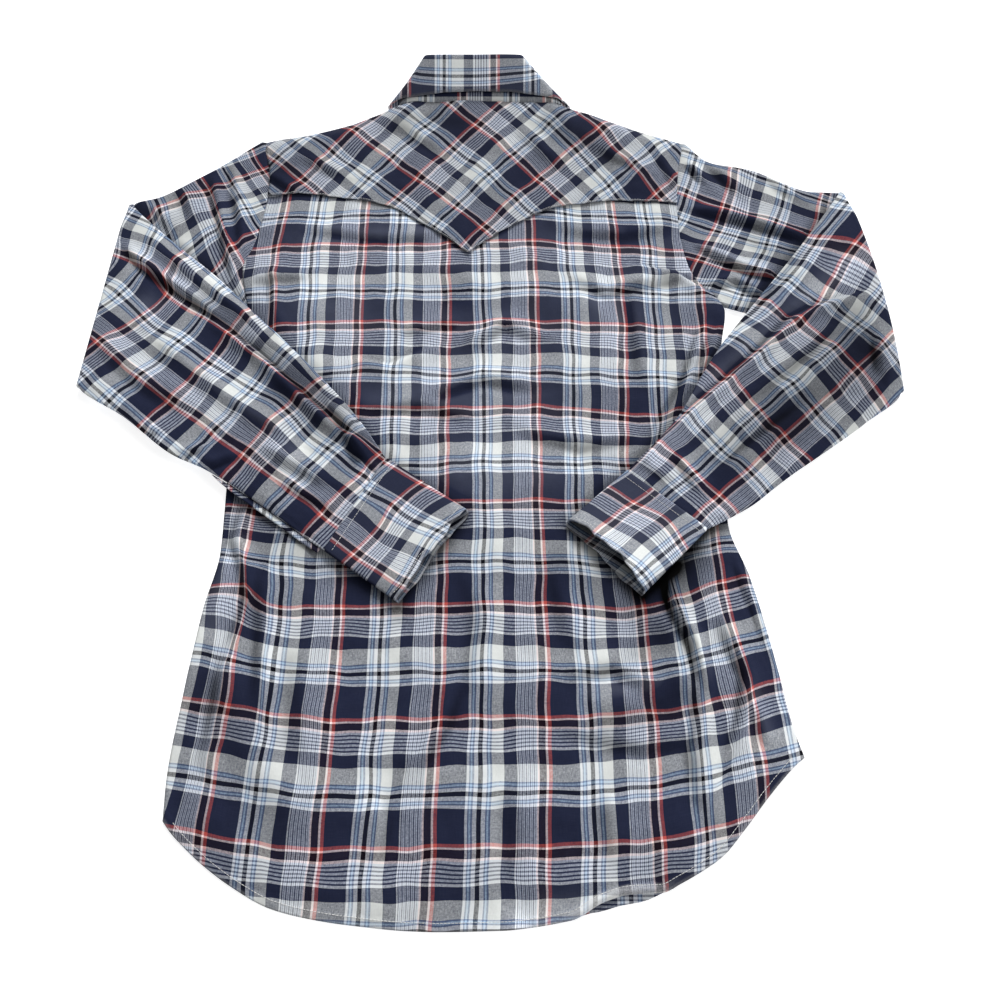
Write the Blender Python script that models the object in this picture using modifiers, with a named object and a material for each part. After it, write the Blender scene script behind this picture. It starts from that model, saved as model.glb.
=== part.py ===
"""Western snap shirt, laid face down with both sleeves folded over the back.

X runs across the shirt, Y from the hem to the collar and Z up from the table. The tables are in
millimetres, and the objects in metres. Every cloth piece is a wall of one thickness around a sheet
of points, and all sheets share the same outline, height and fold functions.
"""

import math

import bpy

MM = 0.001
CLOTH = 1.0  # thickness of shirting with its turned seams
CUFF_WALL = 1.6  # two cloths and an interlining
SEAM = 0.3  # gap kept between sewn pieces
CENTRE_X = -14.0  # the front placket, and the middle of the neck
BAND_HALF = 16.0  # half the width of the front band
BAND_TOP = 297.0
TIP_X = -25.0  # the point of the back yoke
TIP_Y = 169.0
STACK = 4.9  # of the closed front's layers: placket, band and snaps
POINTS_RISE = 2.4  # of the fronts over the collar's points
FRONT_RISE = (4.7, 3.4)  # of the under and the upper front over the band and its snaps
RIDE = 2.4  # of the yoke over the band's ends at the side of the neck
LAP = 9.0  # how far the back panel runs up under the yoke
EDGE_Z = 1.8  # middle of the back panel's wall at its side seams
ARM_Z = 4.6  # and where the sleeves are set in
PUFF = 6.2  # rise of the back over the layers that it lies on
SNAP_R = 5.6
SNAP_H = 1.5
SNAP_BEVEL = 0.35
SNAP_SIDES = 16
SNAPS_Y = (-330.0, -245.0, -160.0, -75.0, 10.0, 95.0, 180.0)
SNAP_NECK = (CENTRE_X, 317.0, 1.6)
BEND_R = 4.8  # radius of the fold at each elbow
TUBE = 3.6  # height between the two layers of a sleeve
FULLNESS = 1.2  # extra height of a forearm's upper layer
SLIP = 1.2  # of a folded forearm towards the hem
CUFF_GAP = 1.2  # from a sleeve's end to its cuff, whose walls are thicker
SHOULDER_GAP = 3.0  # the fronts stay this far inside the yoke's top edge
ARM_GAP = 1.8  # between the armhole's edge and the sleeve, both curved
REST_GAP = 1.3  # from the back's outer face to the sleeve that lies on it

# Side edges of the body, from the hem up to the shoulder: height and place.
LEFT_SIDE = (  # y, x
    (-350, -245), (-320, -247), (-263, -244), (-191, -238), (-140, -230), (-70, -233),
    (20, -236), (96, -234), (127, -241), (155, -246), (185, -238), (232, -232),
    (262, -231), (318, -244),
)
RIGHT_SIDE = (  # y, x
    (-306, 241), (-280, 235), (-242, 230), (-161, 216), (-113, 203), (-20, 208),
    (60, 215), (71, 217), (104, 223), (123, 214), (136, 202), (151, 194), (171, 190),
    (202, 187), (251, 189), (318, 201),
)
HEM = (  # x, y
    (-246, -350), (-238, -359), (-229, -367), (-211, -381), (-187, -396), (-160, -409),
    (-136, -415), (-102, -420), (-50, -424), (11, -423), (58, -417), (82, -405),
    (102, -400), (125, -399), (139, -393), (153, -386), (171, -375), (190, -356),
    (211, -333), (234, -311), (241, -306),
)
SHOULDER = (  # x, y: the top edge, its neck part left out
    (-246, 319), (-226, 325), (-205, 329), (-128, 356), (-106, 368), (-90, 373), (60, 373),
    (75, 368), (115, 355), (156, 336), (203, 318),
)
FRONT_NECK = (  # x, y: the front neckline, hidden below the yoke
    (-104, 361), (-99, 348), (-88, 333), (-70, 318), (-45, 306), (CENTRE_X, 300),
    (17, 306), (42, 318), (60, 333), (71, 348), (76, 361),
)
YOKE_RISE = (  # reach from the point, rise of the yoke's edge
    (0, 0), (10, 8), (20, 16), (42, 33), (70, 51), (97, 61), (126, 66), (155, 70), (225, 71),
)
FRONT_TAIL = (  # x, y: how far the front hem stays behind the back hem, or shows past it
    (-250, 2.5), (50, 2.5), (68, -1.0), (82, -6.0), (102, -6.5), (114, -4.5), (127, 0.0),
    (145, 2.5), (245, 2.5),
)

FOREARMS = (((-330, 90), (-60, -140)), ((320, 90), (100, -140)))  # x, y: middle line of each
PRESSED = 46.0  # half the width that a forearm presses flat

# Soft folds of the back: from one end to the other, half width and height.
BACK_FOLDS = (  # x0, y0, x1, y1, half, height
    (-212, -95, -219, -128, 8, 4.0),
    (-219, -128, -200, -190, 9, 4.2),
    (-200, -190, -216, -330, 15, 2.4),
    (-120, -240, -132, -400, 22, 1.8),
    (-40, -250, -36, -410, 26, 1.5),
    (60, -230, 66, -400, 24, 1.6),
    (148, -150, 152, -190, 9, 5.0),
    (152, -190, 172, -250, 10, 5.0),
    (172, -250, 188, -305, 14, 2.6),
    (184, -170, 209, -290, 10, 3.4),
    (112, -235, 146, -290, 11, -1.8),
    (30, -170, 86, -235, 16, 1.8),
    (-190, 205, 150, 190, 15, 1.6),
    (-200, 130, 120, 118, 14, 2.4),
    (-160, 66, 178, 62, 13, 2.0),
    (-90, 10, 150, 8, 13, 1.8),
    (-30, -58, 90, -60, 14, 2.2),
    (150, 150, 184, 20, 12, 3.4),
    (-206, 180, -190, 40, 14, 2.4),
    (-150, -205, 60, -215, 15, 1.6),
    (-80, -150, 40, -165, 14, 2.0),
)
YOKE_FOLDS = (  # x0, y0, x1, y1, half, height
    (-220, 250, -170, 312, 12, 1.6),
    (120, 262, 176, 300, 13, 1.6),
    (-90, 330, -30, 300, 16, 1.4),
)
# Sections of each sleeve, armhole to cuff seam. The place is in shares: 0 armhole, 1 fold of the
# elbow, 2 cuff seam. Each has its upper edge, its lower edge and how far it bulges past them.
LEFT_SLEEVE = (  # place, upper x, upper y, lower x, lower y, bulge
    (0.0, -245, 318, -234, 97, 0),
    (0.3, -280, 288, -277, 76, 0),
    (0.5, -307, 268, -308, 62, 0),
    (0.75, -345, 241, -345, 42, 0),
    (1.0, -372, 234, -382, 21, 0),
    (1.2, -322, 182, -333, -11, 0),
    (1.38, -273, 134, -283, -48, 0),
    (1.5, -240, 101, -252, -62, 0),
    (1.8, -152, 8, -175, -113, 0),
    (2.0, -95, -60, -140, -137, 0),
)
RIGHT_SLEEVE = (  # place, upper x, upper y, lower x, lower y, bulge
    (0.0, 202, 316, 223, 104, 0),
    (0.3, 226, 290, 254, 95, 0),
    (0.55, 268, 280, 300, 70, 0),
    (0.8, 331, 250, 342, 42, 4),
    (1.0, 362, 250, 377, 16, 8),
    (1.2, 306, 186, 338, -16, 3),
    (1.5, 243, 97, 285, -52, 0),
    (1.8, 163, -6, 221, -93, 0),
    (2.0, 119, -68, 178, -114, 0),
)
LEFT_CUFF = ((-22.5, -107.5), (-76.5, -182.5))  # the open end, upper and lower corner
RIGHT_CUFF = ((66.0, -116.0), (122.0, -175.5))
CUFF_MOUTH = 5.5  # extra height between the layers at the open end
COVER = ((190, 26), (240, 97), (306, 178), (362, 248))  # x, y: upper edge of a folded forearm
LEFT_FOLDS = (  # x0, y0, x1, y1, half, height: on the sleeve's outer layer
    (-360, 172, -236, 96, 13, 3.6),
    (-236, 96, -124, -20, 12, 4.2),
    (-300, 60, -180, -60, 22, 2.2),
    (-356, 214, -300, 150, 8, 1.4),
    (-300, 0, -262, -20, 9, 1.6),
    (-232, -50, -205, -78, 8, 1.6),
    (-120, -30, -132, -88, 10, 2.6),
    (-150, -60, -126, -110, 8, 1.8),
)
RIGHT_FOLDS = (  # x0, y0, x1, y1, half, height
    (300, 130, 216, 20, 11, 4.4),
    (216, 20, 150, -58, 10, 3.2),
    (340, 120, 250, -10, 20, 2.0),
    (352, 60, 300, 0, 15, 1.8),
    (190, -40, 150, -92, 11, 2.2),
    (230, -40, 196, -84, 8, 1.6),
)
LEFT_ARM_FOLDS = (  # on the upper arm, between the armhole and the elbow
    (-282, 286, -268, 150, 9, 2.6),
    (-330, 240, -290, 190, 9, 1.6),
    (-258, 300, -262, 240, 8, 1.6),
)
RIGHT_ARM_FOLDS = (
    (210, 262, 268, 236, 9, 3.0),
    (206, 226, 290, 196, 9, 2.8),
    (212, 190, 280, 150, 9, 2.2),
    (214, 292, 246, 270, 8, 1.8),
)
# The collar: stations round the neck from the band's outer end to its inner end.
COLLAR = (  # seam x, y, z, fold x, y, z, leaf edge x, y, z
    (6, 304, 4.0, 4, 335, 4.0, -10, 330, 2.2),
    (-30, 306, 3.6, -26, 339, 3.6, -62, 256, 0.6),
    (-64, 320, 3.0, -46, 352, 3.2, -84, 292, 0.6),
    (-90, 345, 3.2, -64, 384, 6.0, -101, 326, 0.6),
    (-98, 364, 3.5, -74, 408, 11.0, -113, 360, 0.6),
    (-101.5, 374, 5.2, -76, 417, 18.5, -115, 372, 3.0),
    (-90, 375.2, 8.0, -72, 420, 25.0, -101, 375.5, 10.4),
    (-52, 375.2, 8.6, -48, 421, 27.0, -52, 382, 14.2),
    (CENTRE_X, 375.2, 8.8, -22, 421, 27.5, -18, 384, 15.0),
    (22, 375.2, 8.6, 4, 421, 27.0, 20, 383, 14.2),
    (59, 375.2, 8.0, 28, 420, 25.0, 68, 376.5, 10.4),
    (73.5, 374, 5.2, 34, 417, 18.5, 83, 372, 3.0),
    (70, 364, 3.5, 32, 408, 10.2, 86, 361, 0.6),
    (62, 345, 3.2, 26, 384, 5.6, 74, 326, 0.6),
    (36, 320, 3.0, 18, 352, 3.2, 56, 292, 0.6),
    (2, 306, 4.4, -2, 339, 4.4, 34, 256, 0.6),
    (-34, 302, 5.4, -32, 335, 5.4, -18, 330, 3.6),
)
LEAF_ROLL = ((0.9, 0.2), (1.6, 1.2), (1.0, 2.3))  # of the leaf over the band: up, out
LEAF_ENDS = (0.04, 0.962)  # the leaf stops at the middle of the front, the band laps past it
BINDING = (  # place along the left sleeve, distance past its lower edge, height
    (1.53, 0.6, 0.0), (1.57, 3.0, -0.4), (1.64, 4.4, -0.8), (1.76, 4.8, -0.8),
    (1.88, 4.6, -0.6), (1.985, 4.2, -0.4),
)

NAVY_PLAID = (0.075, 0.085, 0.125)  # the mean colour of the woven check
CLOTH_ROUGHNESS = 0.85
PEARL = (0.80, 0.80, 0.76)
PEARL_ROUGHNESS = 0.25


def clear_scene():
    for old in list(bpy.data.objects):
        bpy.data.objects.remove(old, do_unlink=True)


def material(name, colour, roughness, metallic=0.0):
    made = bpy.data.materials.new(name)
    made.use_nodes = True
    shader = made.node_tree.nodes["Principled BSDF"]
    shader.inputs["Base Color"].default_value = (*colour, 1.0)
    shader.inputs["Roughness"].default_value = roughness
    shader.inputs["Metallic"].default_value = metallic
    return made


def step(low, high, value):
    share = min(max((value - low) / (high - low), 0.0), 1.0)
    return share * share * (3 - 2 * share)


def mix(a, b, share):
    return a + (b - a) * share


def read(table, at, column=1):
    """A smooth curve through one column of a table, by the first column."""
    last = len(table) - 1
    if at <= table[0][0]:
        return table[0][column]
    if at >= table[last][0]:
        return table[last][column]
    i = max(k for k in range(last) if table[k][0] <= at)
    x0, x1 = table[i][0], table[i + 1][0]
    y0, y1 = table[i][column], table[i + 1][column]
    run = x1 - x0

    def slope(k):
        if k <= 0 or k >= last:
            near = min(max(k, 1), last)
            return (table[near][column] - table[near - 1][column]) / (
                table[near][0] - table[near - 1][0]
            )
        before = (table[k][column] - table[k - 1][column]) / (table[k][0] - table[k - 1][0])
        after = (table[k + 1][column] - table[k][column]) / (table[k + 1][0] - table[k][0])
        if before * after <= 0:
            return 0.0
        return 2 * before * after / (before + after)

    s = (at - x0) / run
    return (
        y0 * (1 + 2 * s) * (1 - s) ** 2
        + y1 * s * s * (3 - 2 * s)
        + slope(i) * run * s * (1 - s) ** 2
        - slope(i + 1) * run * s * s * (1 - s)
    )


def folds(table, x, y):
    """Height of a set of soft folds at one point, each with rounded ends."""
    total = 0.0
    for x0, y0, x1, y1, half, height in table:
        long_x, long_y = x1 - x0, y1 - y0
        size = long_x**2 + long_y**2
        along = ((x - x0) * long_x + (y - y0) * long_y) / size
        near = min(max(along, 0.0), 1.0)
        off = math.hypot(x - x0 - near * long_x, y - y0 - near * long_y)
        if off < 3 * half:
            total += height * math.exp(-((off / half) ** 2)) * (1 - 0.35 * abs(2 * near - 1))
    return total


def front_stack(x):
    """Height of the closed front's layers over the table, along the placket."""
    return STACK * (1 - step(BAND_HALF + 6, BAND_HALF + 30, abs(x - CENTRE_X)))


def collar_points(x, y):
    """How far the collar's points, folded under the fronts, lift them."""
    return POINTS_RISE * step(222, 252, y) * (1 - step(112, 140, abs(x - CENTRE_X)))


def tip_rise(x):
    reach = x - TIP_X
    return read(YOKE_RISE, abs(reach)) - 0.024 * reach


def yoke_edge(x):
    return TIP_Y + tip_rise(x)


def under_sleeve(x, y):
    """One where a folded forearm presses the back flat, zero away from it."""
    total = 0.0
    for (x0, y0), (x1, y1) in FOREARMS:
        long_x, long_y = x1 - x0, y1 - y0
        along = ((x - x0) * long_x + (y - y0) * long_y) / (long_x**2 + long_y**2)
        near = min(max(along, 0.0), 1.0)
        off = math.hypot(x - x0 - near * long_x, y - y0 - near * long_y)
        total = max(total, 1 - step(PRESSED, PRESSED + 20, off))
    return total


def back_height(x, y):
    """Middle of the back's wall over the table."""
    left, right = read(LEFT_SIDE, y), read(RIGHT_SIDE, y)
    side = min(x - left, right - x)
    arm = (ARM_Z - EDGE_Z) * step(62, 125, y)
    inward = 1 - (1 - min(max(side / 48.0, 0.0), 1.0)) ** 2
    low = min(max((y - read(HEM, x)) / 46.0, 0.0), 1.0)
    high = min(max((read(SHOULDER, x) - y) / 22.0, 0.0), 1.0)
    neck = 1 - step(66, 96, abs(x - CENTRE_X))
    high = mix(1 - (1 - high) ** 2, 1.0, neck)
    ends = (1 - (1 - low) ** 2) * high
    puff = (arm + (PUFF - arm) * inward) * ends
    stack = max(front_stack(x), collar_points(x, y))
    calm = 1 - 0.8 * under_sleeve(x, y)
    calm *= min(max((side + 4) / 22.0, 0.0), 1.0) * step(0.0, 0.8, ends)
    return EDGE_Z + (puff**4 + stack**4) ** 0.25 + calm * folds(BACK_FOLDS, x, y)


def front_height(x, y, wearers_left):
    """Middle of a front's wall: flat on the table, up over the placket and the collar points."""
    reach = abs(x - CENTRE_X)
    placket = FRONT_RISE[wearers_left] * (1 - step(BAND_HALF + 2, BAND_HALF + 20, reach))
    return CLOTH / 2 + max(placket, collar_points(x, y))


def sheet(name, rows, thickness, closed=False):
    """A wall around a grid of points in millimetres. Each row runs round the tube when closed."""
    count = len(rows[0])
    points = [tuple(MM * value for value in point) for row in rows for point in row]
    faces = []
    for r in range(len(rows) - 1):
        for c in range(count if closed else count - 1):
            d = (c + 1) % count
            faces.append((r * count + c, r * count + d, (r + 1) * count + d, (r + 1) * count + c))
    mesh = bpy.data.meshes.new(name)
    mesh.from_pydata(points, [], faces)
    mesh.materials.append(material(name, NAVY_PLAID, CLOTH_ROUGHNESS))
    made = bpy.data.objects.new(name, mesh)
    home.objects.link(made)
    wall = made.modifiers.new("wall", "SOLIDIFY")
    wall.thickness = thickness * MM
    wall.offset = 0.0
    wall.use_even_offset = False
    return made


def spread(*stops):
    """Shares with a chosen number of even cells between stops: share, cells, share, ..."""
    found = [stops[0]]
    for k in range(1, len(stops) - 1, 2):
        cells = stops[k]
        found += [mix(stops[k - 1], stops[k + 1], (i + 1) / cells) for i in range(cells)]
    return found


def across(left_at, right_at, share, line):
    """The point of a column on a boundary line y = line(x), found by repeated substitution."""
    y = 0.0
    for _ in range(8):
        x = mix(left_at(y), right_at(y), share)
        y = line(x)
    return y


def panel(shares, left_at, right_at, low, high, lengths, height):
    """A grid between two side curves and two end lines, with its height from a function."""
    ends = [(across(left_at, right_at, s, low), across(left_at, right_at, s, high)) for s in shares]
    rows = []
    for t in lengths:
        row = []
        for s, (y0, y1) in zip(shares, ends):
            y = mix(y0, y1, t)
            x = mix(left_at(y), right_at(y), s)
            row.append((x, y, height(x, y)))
        rows.append(row)
    return rows


def body_left(y):
    return read(LEFT_SIDE, y)


def body_right(y):
    return read(RIGHT_SIDE, y)


def build_back():
    tip = (TIP_X - body_left(TIP_Y)) / (body_right(TIP_Y) - body_left(TIP_Y))
    shares = spread(0.0, 14, tip, 13, 1.0)
    lengths = spread(0.0, 3, 0.06, 13, 0.58, 13, 1.0)
    rows = panel(
        shares, body_left, body_right, lambda x: read(HEM, x), lambda x: yoke_edge(x) + LAP,
        lengths, back_height,
    )
    sheet("back_panel", rows, CLOTH)


def yoke_height(x, y):
    lapped = (CLOTH + 3 * SEAM) * (1 - step(24, 44, y - yoke_edge(x) - LAP))
    corner = (abs(x - CENTRE_X) - 86) / 15
    ride = RIDE * math.exp(-(corner**2)) * step(346, 367, y)
    high = min(max((read(SHOULDER, x) - y) / 30.0, 0.0), 1.0)
    return back_height(x, y) + lapped + ride + high * folds(YOKE_FOLDS, x, y)


def build_yoke():
    left_neck, right_neck, tip = 0.325, 0.715, 0.477
    shares = spread(0.0, 8, left_neck, 5, tip, 6, right_neck, 7, 1.0)
    rows = panel(
        shares, body_left, body_right, yoke_edge, lambda x: read(SHOULDER, x),
        spread(0.0, 9, 0.93, 2, 1.0), yoke_height,
    )
    sheet("back_yoke", rows, CLOTH)


def front_top(x):
    if abs(x - CENTRE_X) < 90:
        return read(FRONT_NECK, x)
    return read(SHOULDER, x) - SHOULDER_GAP


def front_hem(x):
    return read(HEM, x) + read(FRONT_TAIL, x)


def build_fronts():
    def hem_line(x):
        return front_hem(min(max(x, -244), 240))

    left = panel(
        spread(0.0, 6, 0.56, 3, 0.80, 6, 1.0), body_left, lambda y: CENTRE_X + BAND_HALF,
        hem_line, front_top, spread(0.0, 12, 0.80, 4, 1.0),
        lambda x, y: front_height(x, y, True),
    )
    sheet("front_left", left, CLOTH)
    right = panel(
        spread(0.0, 6, 0.21, 3, 0.46, 6, 1.0), lambda y: CENTRE_X - BAND_HALF, body_right,
        hem_line, front_top, spread(0.0, 12, 0.80, 4, 1.0),
        lambda x, y: front_height(x, y, False),
    )
    sheet("front_right", right, CLOTH)


def build_band():
    """The placket band down the middle of the front, which the snap caps lie under."""
    rows = []
    for length in spread(0.0, 12, 1.0):
        row = []
        for x in (CENTRE_X - BAND_HALF, CENTRE_X + BAND_HALF):
            row.append((x, mix(front_hem(x) + 0.5, BAND_TOP, length), SNAP_H + SEAM + CLOTH / 2))
        rows.append(row)
    sheet("front_band", rows, CLOTH)


def snap(name, x, y, z):
    """A pearl snap cap: a low disc with a bevelled rim."""
    bpy.ops.mesh.primitive_cylinder_add(
        vertices=SNAP_SIDES, radius=SNAP_R * MM, depth=SNAP_H * MM,
        location=(x * MM, y * MM, (z + SNAP_H / 2) * MM),
    )
    made = bpy.context.object
    made.name = made.data.name = name
    for holder in list(made.users_collection):
        holder.objects.unlink(made)
    home.objects.link(made)
    made.data.materials.append(material(name, PEARL, PEARL_ROUGHNESS))
    rim_bevel = made.modifiers.new("rim", "BEVEL")
    rim_bevel.width = SNAP_BEVEL * MM
    rim_bevel.segments = 1
    rim_bevel.limit_method = "ANGLE"


def build_snaps():
    for number, y in enumerate(SNAPS_Y, 1):
        snap(f"snap_{number}", CENTRE_X, y, 0.0)
    snap("snap_neck", *SNAP_NECK)


def build_collar():
    """The band round the neck, and the leaf that rolls over its top edge and falls outside it."""
    last = len(COLLAR) - 1
    stations = [(k / last, *row) for k, row in enumerate(COLLAR)]

    def spot(share, first):
        return [read(stations, share, first + k) for k in range(3)]

    stand, leaf = [], []
    for share in spread(0.0, 2 * last, 1.0):
        seam, fold = spot(share, 1), spot(share, 4)
        stand.append([tuple(mix(seam[k], fold[k], s) for k in range(3)) for s in (0.0, 0.5, 1.0)])
    for share in spread(LEAF_ENDS[0], 1, 1 / last, 2 * last - 4, 1 - 1 / last, 1, LEAF_ENDS[1]):
        seam, fold = spot(share, 1), spot(share, 4)
        up = unit([fold[k] - seam[k] for k in range(3)])
        before, after = spot(share - 0.4 / last, 4), spot(share + 0.4 / last, 4)
        out = unit(cross([b - a for a, b in zip(before, after)], up))
        near = min(int(share * last), last - 1)
        edge = [mix(COLLAR[near][k], COLLAR[near + 1][k], share * last - near) for k in (6, 7, 8)]
        roll = [[fold[k] + up[k] * a + out[k] * b for k in range(3)] for a, b in LEAF_ROLL]
        fall = [[mix(roll[-1][k], edge[k], s) for k in range(3)] for s in (0.3, 0.65, 1.0)]
        leaf.append([tuple(point) for point in roll + fall])
    sheet("collar_stand", stand, CLOTH)
    sheet("collar_leaf", leaf, CLOTH)


def cross(a, b):
    return [a[1] * b[2] - a[2] * b[1], a[2] * b[0] - a[0] * b[2], a[0] * b[1] - a[1] * b[0]]


def unit(vector):
    size = math.sqrt(sum(value * value for value in vector))
    return [value / size for value in vector]


def sleeve_edges(table, place):
    return tuple(read(table, place, column) for column in range(1, 6))


def sleeve_ring(cells):
    """Points round a flattened tube: share across, share of height, top first."""
    top = [(k / cells, 1.0) for k in range(cells + 1)]
    return top + [(1.0, 0.5)] + [(1 - share, 0.0) for share, _ in top] + [(0.0, 0.5)]


def build_sleeve(name, table, armhole, arm_folds, fore_folds, side):
    """A flat tube from the armhole to the elbow, bent back over itself and on to the cuff."""
    ring = sleeve_ring(10)
    rows = []
    for place in spread(0.0, 6, 0.9, 1, 1.0):
        rows.append([arm_point(table, armhole, arm_folds, place, *spot, side) for spot in ring])
    for turn in (36, 72, 108, 144):
        rows.append([bend_point(table, turn, *spot, side) for spot in ring])
    for place in spread(1.0, 15, 2.0):
        rows.append([fore_point(table, fore_folds, place, *spot, side) for spot in ring])
    sheet(name, rows, CLOTH, closed=True)


def fold_line(table, share, side):
    """The elbow's fold, kept inside the outline by the radius of the bend."""
    x0, y0, x1, y1, bulge = sleeve_edges(table, 1.0)
    x = mix(x0, x1, share) + side * (bulge * 4 * share * (1 - share) - BEND_R)
    return x, mix(y0, y1, share)


def rim(share, level):
    """How far the tube's rounded edge stands past its section."""
    if level == 0.5:
        return TUBE / 2 * (1 if share == 1.0 else -1)
    return 0.0


def arm_point(table, armhole, arm_folds, place, share, level, side):
    x0, y0, x1, y1, _ = sleeve_edges(table, place)
    x, y = mix(x0, x1, share), mix(y0, y1, share)
    ax, ay = armhole(share)
    start = sleeve_edges(table, 0.0)
    fade = (1 - place) ** 2
    x += (ax - mix(start[0], start[2], share)) * fade
    y += (ay - mix(start[1], start[3], share)) * fade
    fx, _ = fold_line(table, share, side)
    end = sleeve_edges(table, 1.0)
    x += (fx - mix(end[0], end[2], share)) * place**2
    x += side * ARM_GAP * (1 - place)
    y -= rim(share, level)
    high = mix(ARM_Z, CLOTH / 2 + TUBE, step(0.0, 0.5, place))
    z = mix(CLOTH / 2, high, level)
    if level == 1.0:
        calm = step(0.0, 0.12, place) * (1 - step(0.8, 0.95, place))
        calm *= step(0.0, 0.06, share) * (1 - step(0.94, 1.0, share))
        z += calm * folds(arm_folds, x, y) * (1 - arm_cover(x, y))
    return x, y, z


def arm_cover(x, y):
    """One where the forearm lies on the upper arm, so that its folds are pressed flat there."""
    side = 1 if x > 0 else -1
    edge = read(COVER, abs(x) + (0 if side > 0 else -8))
    return step(-16, -2, edge - y)


def bend_point(table, turn, share, level, side):
    x, y = fold_line(table, share, side)
    rise = TUBE * level
    angle = math.radians(turn)
    reach = (BEND_R - rise) * math.sin(angle)
    return (
        x + side * reach,
        y - rim(share, level) - SLIP * turn / 180,
        CLOTH / 2 + BEND_R - (BEND_R - rise) * math.cos(angle),
    )


def fore_point(table, fore_folds, place, share, level, side):
    x0, y0, x1, y1, bulge = sleeve_edges(table, place)
    x, y = mix(x0, x1, share), mix(y0, y1, share)
    x += side * bulge * 4 * share * (1 - share) * (place - 1)
    fx, fy = fold_line(table, share, side)
    start = sleeve_edges(table, 1.0)
    fade = (2 - place) ** 3
    x += (fx - mix(start[0], start[2], share)) * fade
    y -= rim(share, level) + SLIP
    low = CLOTH / 2 + 2 * BEND_R - TUBE
    z = low + TUBE * (1 - level) + lift(x, y) * step(1.0, 1.12, place)
    if level == 0.0:
        calm = step(1.02, 1.1, place) * (1 - step(1.93, 1.99, place))
        calm *= step(0.0, 0.05, share) * (1 - step(0.95, 1.0, share))
        z += calm * (folds(fore_folds, x, y) + FULLNESS)
    return x, y, z


def lift(x, y):
    """How far the back raises a forearm over the height at which it leaves its fold."""
    if not body_left(y) < x < body_right(y):
        return 0.0
    low = CLOTH / 2 + 2 * BEND_R - TUBE
    return max(back_height(x, y) + CLOTH + REST_GAP - low, 0.0)


def left_armhole(share):
    y = mix(LEFT_SLEEVE[0][2], LEFT_SLEEVE[0][4], share)
    return body_left(y), y


def right_armhole(share):
    y = mix(RIGHT_SLEEVE[0][2], RIGHT_SLEEVE[0][4], share)
    return body_right(y), y


def build_cuff(name, table, mouth, side):
    """A cuff round the end of its sleeve, its two layers parting at the open end."""
    ring = sleeve_ring(6)
    (mx0, my0), (mx1, my1) = mouth
    x0, y0, x1, y1, _ = sleeve_edges(table, 2.0)
    away_x, away_y = (mx0 + mx1 - x0 - x1) / 2, (my0 + my1 - y0 - y1) / 2
    size = math.hypot(away_x, away_y)
    away_x, away_y = away_x / size, away_y / size
    rows = []
    for along in spread(0.0, 4, 1.0):
        row = []
        for share, level in ring:
            x = mix(mix(x0, x1, share), mix(mx0, mx1, share), along)
            y = mix(mix(y0, y1, share), mix(my0, my1, share), along)
            x += away_x * CUFF_GAP * (1 - along)
            y += away_y * CUFF_GAP * (1 - along) - rim(share, level) - SLIP * (1 - along)
            height = TUBE + 0.6 + CUFF_MOUTH * along**2 * (4 * share * (1 - share)) ** 0.5
            low = CLOTH / 2 + 2 * BEND_R - TUBE + lift(x, y) - 0.1
            row.append((x, y, low + height * (1 - level)))
        rows.append(row)
    sheet(name, rows, CUFF_WALL, closed=True)


def build_binding():
    """The bound edge of the left sleeve's slit, past its lower edge."""
    rows = []
    for place, past, rise in BINDING:
        x, y, z = fore_point(LEFT_SLEEVE, (), place, 1.0, 0.5, -1)
        rows.append([(x - 0.56 * a, y - 0.83 * a, z + rise) for a in (0.9, 0.9 + max(past, 0.6))])
    sheet("slit_binding_left", rows, CLOTH)


clear_scene()
home = bpy.data.collections.new("western_snap_shirt")
bpy.context.scene.collection.children.link(home)
build_back()
build_yoke()
build_fronts()
build_band()
build_snaps()
build_collar()
build_sleeve("sleeve_left", LEFT_SLEEVE, left_armhole, LEFT_ARM_FOLDS, LEFT_FOLDS, -1)
build_sleeve("sleeve_right", RIGHT_SLEEVE, right_armhole, RIGHT_ARM_FOLDS, RIGHT_FOLDS, 1)
build_cuff("cuff_left", LEFT_SLEEVE, LEFT_CUFF, -1)
build_cuff("cuff_right", RIGHT_SLEEVE, RIGHT_CUFF, 1)
build_binding()
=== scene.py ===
"""Western snap shirt of yarn-dyed check shirting, laid face down with its sleeves folded back.

X runs across the shirt, Y from the hem to the collar and Z up from the table. The tables are in
millimetres and the meshes in metres. Every cloth piece is a thin wall round a fine sheet of
points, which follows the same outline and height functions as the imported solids.
"""

import math

import bpy
import numpy as np
from mathutils import Euler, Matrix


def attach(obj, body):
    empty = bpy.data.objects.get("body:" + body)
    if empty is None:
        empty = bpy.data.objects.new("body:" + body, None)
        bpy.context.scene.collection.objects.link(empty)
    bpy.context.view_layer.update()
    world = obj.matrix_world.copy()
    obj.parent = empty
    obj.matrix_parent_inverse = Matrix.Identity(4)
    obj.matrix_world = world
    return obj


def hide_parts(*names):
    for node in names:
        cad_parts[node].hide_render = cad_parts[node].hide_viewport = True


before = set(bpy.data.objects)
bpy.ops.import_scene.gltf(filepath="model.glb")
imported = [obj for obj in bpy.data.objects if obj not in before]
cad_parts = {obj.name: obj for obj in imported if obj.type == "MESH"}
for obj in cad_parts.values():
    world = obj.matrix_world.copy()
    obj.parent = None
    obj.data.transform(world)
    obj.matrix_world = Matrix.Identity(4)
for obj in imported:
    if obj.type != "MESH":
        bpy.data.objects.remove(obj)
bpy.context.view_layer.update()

MM = 0.001
CLOTH = 1.0  # the solids' cloth wall, which the heights are worked out from
SHIRTING = 0.6  # the thin wall of the finished cloth
CUFF_WALL = 1.3
SEAM = 0.3  # left open between the solids
CENTRE_X = -14.0  # of the neck and the front band
BAND_HALF = 16.0  # half the band's width
BAND_TOP = 297.0
SNAPS_Y = (-330.0, -245.0, -160.0, -75.0, 10.0, 95.0, 180.0)
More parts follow.
